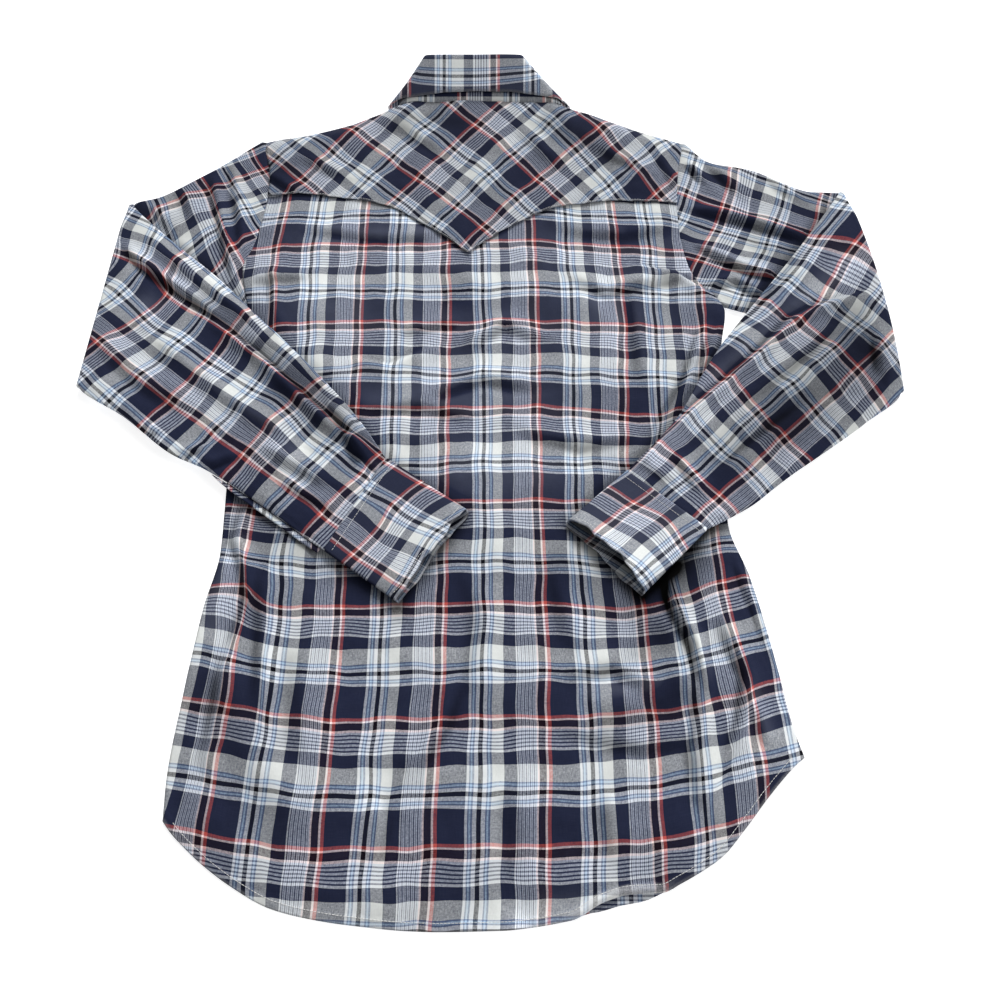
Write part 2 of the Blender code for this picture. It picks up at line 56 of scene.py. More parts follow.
SNAP_NECK = (CENTRE_X, 317.0, 1.6)
SNAP_H = 1.5
SNAP_SIDES = 28
TIP_X = -25.0  # the yoke's point
TIP_Y = 169.0
YOKE_LEAN = 0.024  # how much lower the yoke's edge lies for each millimetre to the right
LAP = 9.0  # of the yoke over the back
RIDE = 2.4  # rise of the yoke over the collar stand's two ends
EDGE_Z = 1.8  # middle of the back's wall at its edges
PUFF = 6.2  # how much higher the loose back lies
SIDE_SWELL = 48.0  # over this width the back rises from a side, the hem and the shoulder
HEM_SWELL = 46.0
SHOULDER_SWELL = 22.0
ARMHOLE_Y = (62.0, 125.0)  # between these the sides rise to meet the sleeves
NECK_HALF = (66.0, 96.0)  # between these half widths the back rises to the shoulder's seam
STACK = 4.9  # rise of the back over the closed front
STACK_SLOPE = (6.0, 30.0)  # distances past the band between which it ends
POINTS_RISE = 2.4  # rise over the collar's points
POINTS_Y = (222.0, 252.0)
POINTS_HALF = (112.0, 140.0)
FRONT_RISE = (4.7, 3.4)  # of the right front and the left front over the band and the snaps
FRONT_SLOPE = (2.0, 20.0)
LAP_SLOPE = (24.0, 44.0)  # distances past the back's edge between which the yoke comes down
RIDE_AT = (86.0, 15.0)  # how far from the middle the stand's ends are, and half their width
RIDE_Y = (346.0, 367.0)
SHOULDER_FLAT = 30.0  # the yoke's folds die out over this distance from the shoulder
HEM_WIDTH = 6.5  # of the narrow turned hem
HEM_RISE = 0.45
HEM_PUCKER = 0.22
YOKE_PUCKER = 0.18
CURL = (92.0, 34.0, 2.6)  # where the hem curls up: x, half width, height
PRESSED = 46.0  # half the width over which a forearm presses the back flat
PRESSED_SHARE = 0.8  # of the folds' height
ARM_Z = 4.6  # upper side of a sleeve at its armhole
ARM_GAP = 1.8  # between the body and a sleeve
SHOULDER_GAP = 3.0
REST_GAP = 1.3  # between the back and a forearm
CUFF_GAP = 1.2
TUBE = 3.6  # height of a flattened sleeve
BEND_R = 4.8  # of a sleeve's fold
SLIP = 1.2  # how far a forearm lies nearer the hem than its fold
FULLNESS = 1.2  # of a forearm's loose upper side
FORE_Z = CLOTH / 2 + 2 * BEND_R - TUBE  # lower side of a forearm where it leaves its fold
ELBOW_PINCH = 0.55  # how much thinner the fold's upper corner is pressed
TUCK = (2.6, 1.3)  # how far a seam's inner edge runs under its neighbour, and below it
STITCH = {"Stitch": 0.0021, "Gap": 0.0006, "Thread": 0.00021, "Seed": 4}  # in metres
THREAD_LIFT = 0.06

LEFT_SIDE = (  # y, x
    (-350, -245), (-320, -247), (-263, -244), (-191, -238), (-140, -230), (-70, -233),
    (20, -236), (96, -234), (127, -241), (155, -246), (185, -238), (232, -232),
    (262, -231), (318, -244),
)
RIGHT_SIDE = (  # y, x
    (-306, 241), (-280, 235), (-242, 230), (-161, 216), (-113, 203), (-20, 208),
    (60, 215), (71, 217), (104, 223), (123, 214), (136, 202), (151, 194), (171, 190),
    (202, 187), (251, 189), (318, 201),
)
HEM = (  # x, y
    (-246, -350), (-238, -359), (-229, -367), (-211, -381), (-187, -396), (-160, -409),
    (-136, -415), (-102, -420), (-50, -424), (11, -423), (58, -417), (82, -405),
    (102, -400), (125, -399), (139, -393), (153, -386), (171, -375), (190, -356),
    (211, -333), (234, -311), (241, -306),
)
SHOULDER = (  # x, y
    (-246, 319), (-226, 325), (-205, 329), (-128, 356), (-106, 368), (-90, 373), (60, 373),
    (75, 368), (115, 355), (156, 336), (203, 318),
)
FRONT_NECK = (  # x, y
    (-104, 361), (-99, 348), (-88, 333), (-70, 318), (-45, 306), (CENTRE_X, 300),
    (17, 306), (42, 318), (60, 333), (71, 348), (76, 361),
)
YOKE_RISE = (  # reach from the point, rise of the yoke's edge
    (0, 0), (10, 8), (20, 16), (42, 33), (70, 51), (97, 61), (126, 66), (155, 70), (225, 71),
)
FRONT_TAIL = (  # x, y
    (-250, 2.5), (50, 2.5), (68, -1.0), (82, -6.0), (102, -6.5), (114, -4.5), (127, 0.0),
    (145, 2.5), (245, 2.5),
)
FOREARMS = (((-330, 90), (-60, -140)), ((320, 90), (100, -140)))  # x, y
PRESSED = 46.0

# Folds and creases: from one end to the other, half width, height, and how much cloth each takes
# up from beside it, which shifts the check there.
BACK_FOLDS = (  # half width, height, take, places along it
    (6, 2.9, 2, (-236, 140), (-181, 144)),
    (5, 2.6, 2, (-216, 158), (-204, 75)),
    (6, 2.6, 1.5, (-90, 79), (-34, 90)),
    (7, 3.9, 3, (-25, 64), (10, 87), (49, 73)),
    (7, 3.6, 2.5, (-57, 10), (-11, 30), (41, 21)),
    (6, 2.9, 2, (-61, 56), (-95, 38), (-130, 46)),
    (7, 3.4, 2.5, (78, 140), (110, 126), (153, 136), (192, 146)),
    (5, 3.9, 2.5, (215, 118), (176, 144), (134, 153)),
    (7, 3.1, 2, (136, 125), (140, 21)),
    (5, 4.7, 3, (200, 84), (182, 29), (154, -27)),
    (5, 4.4, 3, (210, 75), (191, 29)),
    (5, 3.9, 2.5, (182, 31), (142, -39)),
    (7, 2.6, 1.5, (-127, -4), (-66, 2), (-20, -11)),
    (7, 2.9, 1.5, (25, -25), (78, -39), (141, -31)),
    (7, 2.6, 1.5, (-194, 203), (-113, 190), (-53, 195)),
    (7, 2.6, 1.5, (67, 203), (127, 193), (175, 203)),
    (6, 4.2, 4, (-211, -98), (-216, -130), (-204, -155), (-196, -184), (-203, -209), (-209, -227)),
    (7.5, 3.4, 2, (-209, -227), (-210, -266), (-216, -311)),
    (7, 3.6, 2.5, (-186, -152), (-184, -190), (-181, -234), (-178, -266)),
    (7.5, 3.6, 2, (-64, -317), (-40, -281), (-28, -245)),
    (7, 2.6, 1.5, (-87, -378), (-82, -353), (-87, -332)),
    (5, 6.5, 5, (147, -152), (148, -184), (164, -220), (169, -252)),
    (7, 3.9, 2.5, (169, -252), (159, -304), (161, -347)),
    (6, 5.2, 3.5, (187, -196), (204, -245), (196, -283), (182, -308)),
    (6, 3.9, 2.5, (207, -266), (214, -299)),
    (7.5, -1.8, 0, (110, -259), (137, -277)),
    (7, 3.1, 2, (54, -242), (96, -235), (125, -248)),
    (7.5, 2.6, 1.5, (53, -283), (114, -295), (161, -289)),
    (3.5, 3.4, 2, (206, -149), (218, -195), (226, -226)),
    (10, 2.3, 1, (-18, -152), (-4, -203), (-10, -266)),
    (8.5, 2.6, 1, (57, -152), (65, -219)),
    (10, 2.1, 1, (-153, -219), (-140, -311)),
    (10, 2.3, 1, (22, -325), (26, -393)),
    (8.5, 2.6, 1.5, (89, -332), (95, -380)),
)
YOKE_FOLDS = (  # half width, height, take, places along it
    (7, 2.3, 1.5, (-203, 298), (-153, 268)),
    (7, 2.3, 1.5, (112, 312), (162, 273)),
    (7.5, 2.1, 1, (-100, 343), (-45, 298)),
    (7.5, 2.1, 1, (28, 337), (69, 284)),
    (5, 2.1, 1, (-233, 273), (-197, 244)),
    (5, 2.3, 1, (175, 298), (191, 249)),
)
LEFT_SLEEVE = (  # place, upper x, upper y, lower x, lower y, bulge
    (0.0, -245, 318, -234, 97, 0),
    (0.3, -280, 288, -277, 76, 0),
    (0.5, -307, 268, -308, 62, 0),
    (0.75, -345, 243, -345, 42, 0),
    (1.0, -373, 234, -382, 21, 0),
    (1.2, -320, 182, -333, -11, 0),
    (1.38, -268, 138, -283, -48, 0),
    (1.5, -236, 106, -252, -62, 0),
    (1.8, -146, 13, -175, -113, 0),
    (1.92, -114, -26, -155, -128, 0),
    (2.0, -94, -56, -140, -138, 0),
)
RIGHT_SLEEVE = (  # place, upper x, upper y, lower x, lower y, bulge
    (0.0, 202, 316, 223, 112, 0),
    (0.3, 226, 290, 254, 101, 0),
    (0.55, 268, 280, 300, 70, 0),
    (0.8, 331, 250, 342, 42, 4),
    (1.0, 362, 250, 377, 16, 8),
    (1.2, 311, 182, 338, -16, 3),
    (1.5, 243, 98, 285, -52, 0),
    (1.6, 214, 61, 264, -66, 0),
    (1.7, 192, 27, 245, -80, 0),
    (1.8, 168, -14, 224, -96, 0),
    (2.0, 119, -68, 182, -119, 0),
)
# A cuff's open end: its two corners, how far its upper lip falls back between them, how far its
# under side reaches past them, how far it gapes, and how much it is shaded.
LEFT_CUFF = ((-22.5, -106.5), (-76.5, -183.5), 0.8, 2.2, 5.0, -0.06)
RIGHT_CUFF = ((66.0, -116.0), (124.0, -177.0), 6.0, 3.0, 7.5, -0.18)
LEFT_FOLDS = (  # half width, height, take, places along it
    (5, 5.2, 1.5, (-369, 180), (-338, 151), (-312, 132), (-288, 115), (-258, 91)),
    (5, 5.2, 1.5, (-104, -48), (-128, -38), (-159, -10), (-188, 18), (-222, 52), (-262, 82)),
    (5, 3.9, 3, (-127, -40), (-105, -58), (-86, -80)),
    (7.5, 2.6, 0, (-338, 181), (-282, 133), (-216, 80)),
    (6, 4.2, 3, (-146, -3), (-124, -31), (-110, -64)),
    (4, 2.6, 1.5, (-322, -33), (-295, -27)),
    (4, 2.9, 2, (-283, -55), (-253, -43)),
    (4, 2.6, 1.5, (-255, -66), (-224, -51)),
    (10, 2.9, 1, (-320, 71), (-237, 5), (-169, -43)),
    (8.5, 2.6, 1, (-370, 71), (-322, 26), (-271, -5)),
    (7, 2.9, 1.5, (-202, -43), (-139, -81)),
    (5, 2.3, 1, (-183, -78), (-129, -107)),
)
RIGHT_FOLDS = (  # half width, height, take, places along it
    (5, 6, 6, (347, 117), (311, 103), (282, 87), (251, 54), (215, 21), (181, -9), (144, -40)),
    (5, 3.9, 3, (144, -40), (118, -64)),
    (7.5, 2.9, 0, (324, 176), (286, 133), (252, 91)),
    (9.5, 3.1, 1, (330, 71), (281, 26), (232, -13)),
    (7.5, 2.6, 1, (287, -5), (236, -43), (199, -72)),
    (6, 2.9, 1, (362, 71), (359, 26)),
    (5, 3.1, 2, (161, -55), (179, -87)),
    (4, 2.3, 1.5, (129, -59), (152, -78)),
)
LEFT_ARM_FOLDS = (  # half width, height, take, places along it
    (5, 4.4, 4, (-292, 272), (-279, 228), (-262, 171), (-238, 112)),
    (6, 3.1, 2, (-275, 294), (-259, 235), (-247, 171)),
    (6, 2.6, 1.5, (-324, 261), (-301, 217)),
    (6, 2.3, 1, (-351, 235), (-319, 201)),
)
RIGHT_ARM_FOLDS = (  # half width, height, take, places along it
    (5, 4.4, 3, (201, 228), (245, 218), (315, 191)),
    (5, 4.2, 3, (201, 184), (243, 157), (290, 140)),
    (5, 3.9, 2, (202, 133), (237, 140), (267, 121)),
    (4, 3.4, 2, (202, 291), (218, 264)),
    (6, 2.9, 1.5, (229, 288), (254, 248)),
    (7, 2.6, 1.5, (288, 275), (315, 240)),
)
# Broad soft lights and shades of the loose cloth: half width, shade (under 0 it is light), from
# one end to the other.
BACK_TONES = (
    (15, 0.35, (57, -149), (98, -175), (142, -216)),
    (16, 0.65, (183, -113), (174, -149), (150, -176)),
    (15, 0.5, (88, -280), (123, -272), (156, -256)),
    (15, 0.4, (-217, -256), (-190, -308), (-155, -357)),
    (22, 0.15, (-22, -357), (-14, -403)),
    (9, -0.3, (153, -200), (166, -232), (165, -263)),
    (12, -0.3, (85, -256), (129, -251)),
    (14, 0.35, (123, -170), (150, -157)),
    (14, 0.25, (-215, -108), (-173, -149)),
    (12, 0.2, (-188, -183), (-169, -183)),
    (10, -0.3, (-214, -131), (-222, -170), (-229, -208)),
    (12, -0.25, (21, -417), (61, -411)),
    (10, -0.25, (202, -263), (210, -293)),
    (18, -0.25, (-73, 199), (-53, 191)),
    (16, -0.25, (103, 118), (120, 84)),
    (22, -0.2, (-162, 191), (-112, 184)),
    (18, -0.15, (-175, 113), (-136, 95)),
    (14, 0.2, (147, 197), (198, 216)),
    (20, 0.15, (-36, 124), (-12, 124)),
    (26, -0.12, (-102, 3), (7, 19)),
    (5, 0.45, (214, -139), (226, -195), (236, -223)),
    (48, -0.14, (-185, 165), (-13, 175), (165, 165)),
    (48, -0.11, (-170, 75), (-12, 80), (120, 85)),
    (38, -0.09, (-70, 0), (50, -2)),
    (28, -0.13, (-32, -68), (48, -68)),
    (8, 0.3, (-240, -76), (-190, -114), (-142, -152), (-76, -196)),
    (6, 0.25, (-72, -188), (-44, -152), (-24, -118)),
    (7, 0.25, (172, -142), (150, -162), (128, -184)),
    (6, 0.25, (76, -128), (98, -156), (122, -182)),
    (5, 0.3, (152, -196), (160, -214), (164, -240)),
    (12, 0.3, (110, -228), (140, -214)),
    (22, -0.12, (-20, -60), (30, -64)),
)
YOKE_TONES = (
    (13, 0.35, (-105, 340), (-68, 350), (-36, 342)),
    (13, 0.4, (58, 342), (91, 321), (121, 286)),
    (13, 0.35, (-237, 286), (-216, 280)),
)
LEFT_TONES = (
    (8, 0.55, (-280, 109), (-243, 80), (-207, 52), (-169, 21), (-127, -23), (-99, -48)),
    (12, 0.3, (-362, 205), (-345, 185)),
    (11, 0.45, (-190, 9), (-143, -40)),
    (13, -0.25, (-332, 107), (-327, 101)),
    (13, -0.25, (-287, 29), (-236, -7), (-169, -52)),
    (16, -0.3, (-92, -79), (-52, -106)),
    (13, 0.2, (-294, 14), (-214, -47), (-139, -95)),
)
RIGHT_TONES = (
    (28, 0.45, (350, 96), (280, 14), (210, -47)),
    (16, 0.25, (340, 95), (361, 29), (312, -17)),
    (13, -0.3, (345, 154), (251, 67), (139, -47)),
    (24, 0.35, (352, 44), (300, 0), (262, -36)),
)
LEFT_ARM_TONES = (
    (16, -0.3, (-272, 219), (-226, 169)),
    (14, 0.25, (-365, 200), (-326, 207)),
)
RIGHT_ARM_TONES = (
    (42, -0.12, (220, 250), (290, 180)),
    (14, -0.25, (200, 115), (231, 133)),
    (14, -0.2, (242, 239), (207, 188)),
    (12, 0.35, (262, 188), (293, 161)),
)
COLLAR = (  # seam x, y, z, fold x, y, z, leaf edge x, y, z
    (6, 304, 4.0, 4, 335, 4.0, -10, 330, 2.2),
    (-30, 306, 3.6, -26, 339, 3.6, -62, 256, 0.6),
    (-64, 320, 3.0, -46, 352, 3.2, -84, 292, 0.6),
    (-90, 345, 3.2, -64, 384, 6.0, -101, 326, 0.6),
    (-98, 364, 3.5, -74, 408, 11.0, -113, 360, 0.6),
    (-101.5, 374, 5.2, -76, 417, 18.5, -115, 372, 3.0),
    (-90, 375.2, 8.0, -72, 419.5, 25.0, -101, 375.5, 10.4),
    (-52, 375.2, 8.6, -48, 419, 26.0, -52, 381, 13.8),
    (CENTRE_X, 375.2, 8.8, -22, 419, 26.0, -18, 382, 14.2),
    (22, 375.2, 8.6, 4, 419.5, 26.0, 20, 381.5, 13.8),
    (59, 375.2, 8.0, 28, 420, 25.0, 68, 376.5, 10.4),
    (73.5, 374, 5.2, 34, 417, 18.5, 83, 372, 3.0),
    (70, 364, 3.5, 32, 408, 10.2, 86, 361, 0.6),
    (62, 345, 3.2, 26, 384, 5.6, 74, 326, 0.6),
    (36, 320, 3.0, 18, 352, 3.2, 56, 292, 0.6),
    (2, 306, 4.4, -2, 339, 4.4, 34, 256, 0.6),
    (-34, 302, 5.4, -32, 335, 5.4, -18, 330, 3.6),
)
COLLAR_LAST = len(COLLAR) - 1
LEAF_ROLL = ((0.9, 0.2), (1.3, 0.6), (1.6, 1.2), (1.4, 1.8), (1.0, 2.3))  # up, out
LEAF_ENDS = (0.04, 0.962)  # shares of the way round at which the leaf starts and ends
BINDING = (  # place along the left sleeve, distance past its lower edge, height
    (1.53, 0.6, 0.0), (1.57, 3.0, -0.4), (1.64, 4.4, -0.8), (1.76, 4.8, -0.8),
    (1.88, 4.6, -0.6), (1.985, 4.2, -0.4),
)

CUTS = {  # the solid it dresses, cut in metres, how it lies, what it lies on, area
    "back_cloth": ("back_panel", (0.50, 0.66), "laid", ["front_left", "front_right"], 0.283),
    "yoke_cloth": ("back_yoke", (0.45, 0.21), "laid", ["back_panel"], 0.055),
    "front_cloth_left": ("front_left", (0.26, 0.78), "laid", ["front_band"], 0.172),
    "front_cloth_right": ("front_right", (0.26, 0.78), "laid", ["front_band"], 0.172),
    "placket_band": ("front_band", (0.032, 0.72), "laid", ["front_right"], None),
    "collar_stand_cloth": ("collar_stand", (0.46, 0.046), "folded", ["back_yoke"], 0.0170),
    "collar_leaf_cloth": (
        "collar_leaf", (0.46, 0.075), "folded", ["collar_stand", "back_yoke"], 0.0240,
    ),
    "sleeve_cloth_left": ("sleeve_left", (0.45, 0.56), "folded", ["back_panel"], 0.205),
    "sleeve_cloth_right": ("sleeve_right", (0.45, 0.56), "folded", ["back_panel"], 0.205),
    "cuff_cloth_left": ("cuff_left", (0.20, 0.085), "folded", ["back_panel"], 0.0160),
    "cuff_cloth_right": ("cuff_right", (0.20, 0.085), "folded", ["back_panel"], 0.0160),
    "slit_binding_cloth": ("slit_binding_left", (0.010, 0.13), "folded", ["sleeve_left"], 0.0007),
}

# A fold's section, in half widths: how far its steep and its gentle side reach, and its trough.
FOLD_STEEP = 0.62
FOLD_SOFT = 1.45
FOLD_END = 3.6  # flat beyond it
TROUGH_AT = 1.5
TROUGH_HALF = 0.8
FOLD_TROUGH = 0.2  # share of its height
FOLD_TAPER = 0.75  # share that it loses at its ends
FOLD_RISE = 1.25  # cloth that lies loose stands this much over the tables' heights
TAKE_REACH = 4.0  # half widths over which cloth is taken up
CREASE_AT = 1.1  # the dark line beside a fold, in half widths from its middle
CREASE_HALF = 0.55
CREASE_DEEP = 6.0  # height of a fold whose crease is darkest

# Loose cloth between folds: height, length, turn of each set of waves.
BACK_WAVES = ((1.25, 74, 0.0), (0.4, 27, 0.5))
ARM_WAVES = ((0.7, 52, 1.0), (0.22, 23, 0.0))
FORE_WAVES = ((0.8, 52, 0.4), (0.22, 22, 1.3))
WARP_DRIFT = ((0.7, 61, 2.0),)  # how far the check strays
WEFT_DRIFT = ((0.9, 46, 0.8),)
# Where an arm and a forearm are free to fold: along the sleeve, across it.
ARM_FREE = ((0.0, 0.12, 0.8, 0.95), (0.0, 0.06, 0.94, 1.0))
FORE_FREE = ((1.02, 1.1, 1.93, 1.99), (0.0, 0.05, 0.95, 1.0))
# A cuff's ragged open end: size, rate and start of each wave across it.
UNDER_LIP = ((1.2, 9, 1), (0.5, 27, 0))
UPPER_LIP = ((0.9, 13, 0), (0.6, 31, 2))
LIP_RISE = ((0.5, 17, 0),)

# Shade is 1 in the deepest creases and under 0 where the cloth catches the light.
SHADE_RANGE = (-0.5, 3.0)
YOKE_SHADE = 0.18
ARM_SHADE = 0.14
LEAF_SHADE = -0.12
LEAF_END_SHADE = 0.3
COLLAR_CAST = 0.5  # on the yoke under the collar
STAND_CAST = 0.75  # on the stand under its leaf
YOKE_CAST = (0.4, 3.5)  # beside the yoke's edge: amount, reach
BACK_CAST = (0.6, 9.0)  # beside the forearms
ARM_CAST = (0.75, 11.0)
CUFF_DEEP = 0.85  # inside a cuff
CUFF_LIP = 0.6  # share of it that the under side's lip loses

# The check: its two repeats, and the place in each of the yarns' colours. Both repeats start at
# the white line beside the stripes, and run from the left to the right and from the hem up.
REPEAT = (84.0, 92.5)  # across the warp, along it
RED_AT = (0.303, 0.286)  # the middle of the red line in each
YARNS = {  # red, green, blue as dyed
    "navy": (31, 36, 58),
    "black": (9, 9, 18),
    "umber": (25, 12, 23),
    "white": (228, 232, 238),
    "mist": (205, 212, 225),
    "slate": (90, 98, 116),
    "ink": (54, 60, 84),
    "cream": (220, 223, 221),
    "blue": (106, 124, 156),
    "sky": (183, 208, 233),
    "red": (188, 82, 76),
    "rose": (252, 230, 228),
}
WARP = (  # from this share on, yarn
    (0.0, "white"), (0.012, "mist"), (0.190, "rose"), (0.205, "umber"), (0.268, "rose"),
    (0.286, "red"), (0.318, "navy"), (0.562, "white"), (0.584, "blue"), (0.597, "sky"),
    (0.613, "blue"), (0.626, "white"), (0.664, "black"), (0.703, "white"), (0.736, "blue"),
    (0.749, "sky"), (0.765, "blue"), (0.778, "cream"), (0.882, "navy"),
)
WEFT = (  # from this share on, yarn
    (0.0, "white"), (0.022, "mist"), (0.174, "rose"), (0.193, "umber"),
    (0.254, "rose"), (0.271, "red"), (0.300, "navy"), (0.566, "white"), (0.586, "blue"),
    (0.598, "sky"), (0.612, "blue"), (0.624, "white"), (0.653, "black"), (0.691, "white"),
    (0.715, "blue"), (0.727, "sky"), (0.743, "blue"), (0.755, "cream"), (0.892, "navy"),
)
# Fine stripes: from this share, to this share, how many, and the yarns of each by its shares.
WARP_HAIRS = (0.012, 0.190, 5, ((0.0, "ink"), (0.24, "mist"), (0.56, "slate"), (0.68, "mist")))
WEFT_HAIRS = (0.022, 0.174, 5, ((0.0, "ink"), (0.44, "mist")))
THREADS = 230  # in one repeat
PLATE_EASE = 0.0003  # how loosely a check follows its crossings
FRONT_START = (  # where a repeat starts on the flat fronts and the band: x, y
    CENTRE_X - RED_AT[0] * REPEAT[0], -386.0 - RED_AT[1] * REPEAT[1],
)

# Where red lines of the check cross on each piece: place, and the place in repeats.
BACK_CHECK = (  # x, y, across, along
    (-211.9, 179.9, 0, 6), (-125.8, 179.9, 1, 6), (-43.0, 182.3, 2, 6), (41.3, 185.5, 3, 6),
    (124.6, 178.4, 4, 6), (-206.2, 85.9, 0, 5), (-124.4, 90.2, 1, 5), (-40.1, 86.6, 2, 5),
    (43.3, 89.5, 3, 5), (127.2, 86.6, 4, 5), (202.1, 85.9, 5, 5), (-121.1, -3.3, 1, 4),
    (-39.7, -4.7, 2, 4), (42.8, -0.7, 3, 4), (122.0, -9.9, 4, 4), (-38.6, -95.0, 2, 3),
    (42.7, -93.3, 3, 3), (-201.3, -170.7, 0, 2), (-121.1, -188.0, 1, 2), (-37.3, -186.4, 2, 2),
    (44.0, -184.8, 3, 2), (125.2, -188.0, 4, 2), (193.8, -165.2, 5, 2), (-203.6, -267.4, 0, 1),
    (-121.7, -279.0, 1, 1), (-38.4, -277.1, 2, 1), (45.0, -276.6, 3, 1), (127.9, -271.3, 4, 1),
    (203.7, -254.7, 5, 1), (-210.4, -360.0, 0, 0), (-123.8, -370.3, 1, 0),
    (-40.6, -367.8, 2, 0), (43.4, -367.8, 3, 0), (127.7, -362.6, 4, 0), (209.4, -330.0, 5, 0.15),
    (-207.4, 240.0, 0, 6.65), (-229.8, -168.8, -0.36, 2), (-242.2, -260.9, -0.5, 1),
    (-238.8, -354.8, -0.34, 0), (226.6, -247.1, 5.28, 1),
    (-204.2, -100.0, 0, 3), (-204.5, -147.8, 0.02, 2.386), (-183.0, -187.2, 0.26, 2),
    (-144.5, -188.1, 0.7, 2),
)
YOKE_CHECK = (  # x, y, across, along
    (-13.4, 200.6, 0, 0), (42.5, 264.4, -1, 0), (-81.2, 264.4, 0, 1), (-22.3, 339.4, -1, 1),
    (109.6, 334.9, -2, 0), (-201.4, 261.8, 1, 2), (-153.2, 332.2, 0, 2), (164.2, 244.9, -2, -1),
)
LEFT_ARM_CHECK = (  # x, y, across, along
    (-292.4, 254.7, 1, 2), (-340.8, 230.2, 1, 1.39), (-259.2, 182.6, 0, 2),
    (-240.4, 281.8, 1, 3), (-352.2, 213.4, 1, 1.22), (-247, 163, -0.26, 2),
    (-275, 152, 0, 1.70),
)
LEFT_FORE_CHECK = (  # x, y, across, along
    (-371.7, 65.5, 1, 4), (-294.5, 1.2, 1, 3), (-220.6, -53.4, 1, 2), (-146.2, -110.2, 1, 1),
    (-129.0, -122.8, 1, 0.77), (-358.9, 159.3, 0, 4.64), (-315.2, 119.4, 0, 4),
    (-249.4, 72.5, 0, 3), (-172.1, 9.8, 0, 2), (-139.4, -24.6, 0, 1.52), (-100.9, -54.0, 0, 1),
    (-317, 151, -0.2, 4), (-309, 164, -0.45, 4), (-243, 88, -0.2, 3), (-234, 100, -0.47, 3),
    (-352, 198, -0.473, 4.53), (-365, 191, -0.363, 4.66), (-161, 20, -0.42, 2),
)
LEFT_CUFF_CHECK = (  # x, y, across, along
    (-117.1, -146.0, 1, 1), (-63.8, -81.0, 0, 1), (-79.1, -180.1, 1.097, 0.386),
    (-45.3, -126.1, 0.381, 0.386), (-85.5, -101.3, 0.381, 1), (-132.1, -134.6, 1, 1.2),
    (-39.7, -99.0, 0.06, 0.66), (-92, -115, 0.5, 1),
)
RIGHT_ARM_CHECK = (  # x, y, across, along
    (231.8, 228.0, 0, 3), (317.0, 194.0, 0, 2), (200.3, 163.3, 1, 3), (278.3, 140.7, 1, 2.12),
    (245.3, 276.7, -0.5, 3),
)
RIGHT_FORE_CHECK = (  # x, y, across, along
    (174.9, -107.8, 0, 0.7), (195.8, -89.1, 0, 1), (258.6, -32.8, 0, 2), (336.8, 39.3, 0, 3),
    (373.8, 74.6, 0, 3.55), (289.6, 89.6, 1, 3), (215.7, 27.8, 1, 2), (145.0, -39.1, 1, 1),
    (358.5, 182.0, 1, 4), (319.8, 124.8, 1, 3.57), (318.7, 189.7, 1.45, 4), (259.4, 112.0, 1.39, 3),
    (356.8, -0.7, -0.53, 3), (281.4, -57.1, -0.4, 2),
)
RIGHT_CUFF_CHECK = (  # x, y, across, along
    (120.5, -98.7, 0, 1), (101.8, -84.8, 0.257, 1), (146.2, -112.3, -0.333, 1),
    (165.1, -142.8, -0.769, 1), (83.9, -129.0, 0, 0.454), (125.5, -150.3, -0.529, 0.511),
    (135.9, -87.5, 0, 1.2),
)
# Repeat, red line's x and its share, then the other system's share at the fold of the leaf, or
# at the seam of the stand and how far it runs on to the fold.
COLLAR_CHECK = (96.0, 7.0, 1.303, 0.965)
STAND_CHECK = (-92.5, -39.6, 0.303, 0.86, 0.3)

# Camera: place in metres, tilt from straight down, lens.
CAMERA = (0.007, -0.357, 0.646)
CAMERA_TILT = 22.4
CAMERA_LENS = 28.8
TABLE_HALF = 3.0  # metres
SKY_LIGHT = 0.34
LAMPS = (  # name, strength, softness, height over the table, bearing from the right side
    ("key_light", 3.3, 18, 33, 76),
    ("side_light", 1.1, 18, 30, -6),
)
CUFF_ROWS = (0.085, 0.94)  # rows of stitching, as shares of the way down a cuff
CURL_PALE = 2.2  # how pale the curled hem's turned side is


def step(low, high, value):
    """Zero below low, one above high and smooth between them."""
    share = np.clip((np.asarray(value, float) - low) / (high - low), 0.0, 1.0)
    return share * share * (3 - 2 * share)


def window(value, zero, one, last_one, last_zero):
    """One between two places, falling softly to zero outside them."""
    return step(zero, one, value) * (1 - step(last_one, last_zero, value))


def swell(share):
    """From 0 to 1, steep at first and level at the end."""
    return 1 - (1 - np.clip(share, 0.0, 1.0)) ** 2


def bell(distance, reach):
    """One at no distance, falling softly to zero past the reach."""
    return np.exp(-((distance / reach) ** 2))


def bow(share):
    """Zero at both ends of a share and one in its middle."""
    return 4 * share * (1 - share)


def mix(a, b, share):
    return a + (b - a) * share


def stacked(*columns):
    """Points from their coordinates."""
    return np.stack(np.broadcast_arrays(*columns), axis=-1)


def curve(table, at, column=1):
    """A smooth curve through one column of a table, by the first column."""
    rows = np.array(table, float)
    x, y = rows[:, 0], rows[:, column]
    run = np.diff(x)
    rise = np.diff(y) / run
    before, after = rise[:-1], rise[1:]
    turns = before * after <= 0
    total = np.where(turns, 1.0, before + after)
    inner = np.where(turns, 0.0, 2 * before * after / total)
    slope = np.concatenate([rise[:1], inner, rise[-1:]])
    at = np.asarray(at, float)
    i = np.clip(np.searchsorted(x, at, side="right") - 1, 0, len(run) - 1)
    s = np.clip((at - x[i]) / run[i], 0.0, 1.0)
    return (
        y[i] * (1 + 2 * s) * (1 - s) ** 2
        + y[i + 1] * s * s * (3 - 2 * s)
        + slope[i] * run[i] * s * (1 - s) ** 2
        - slope[i + 1] * run[i] * s * s * (1 - s)
    )


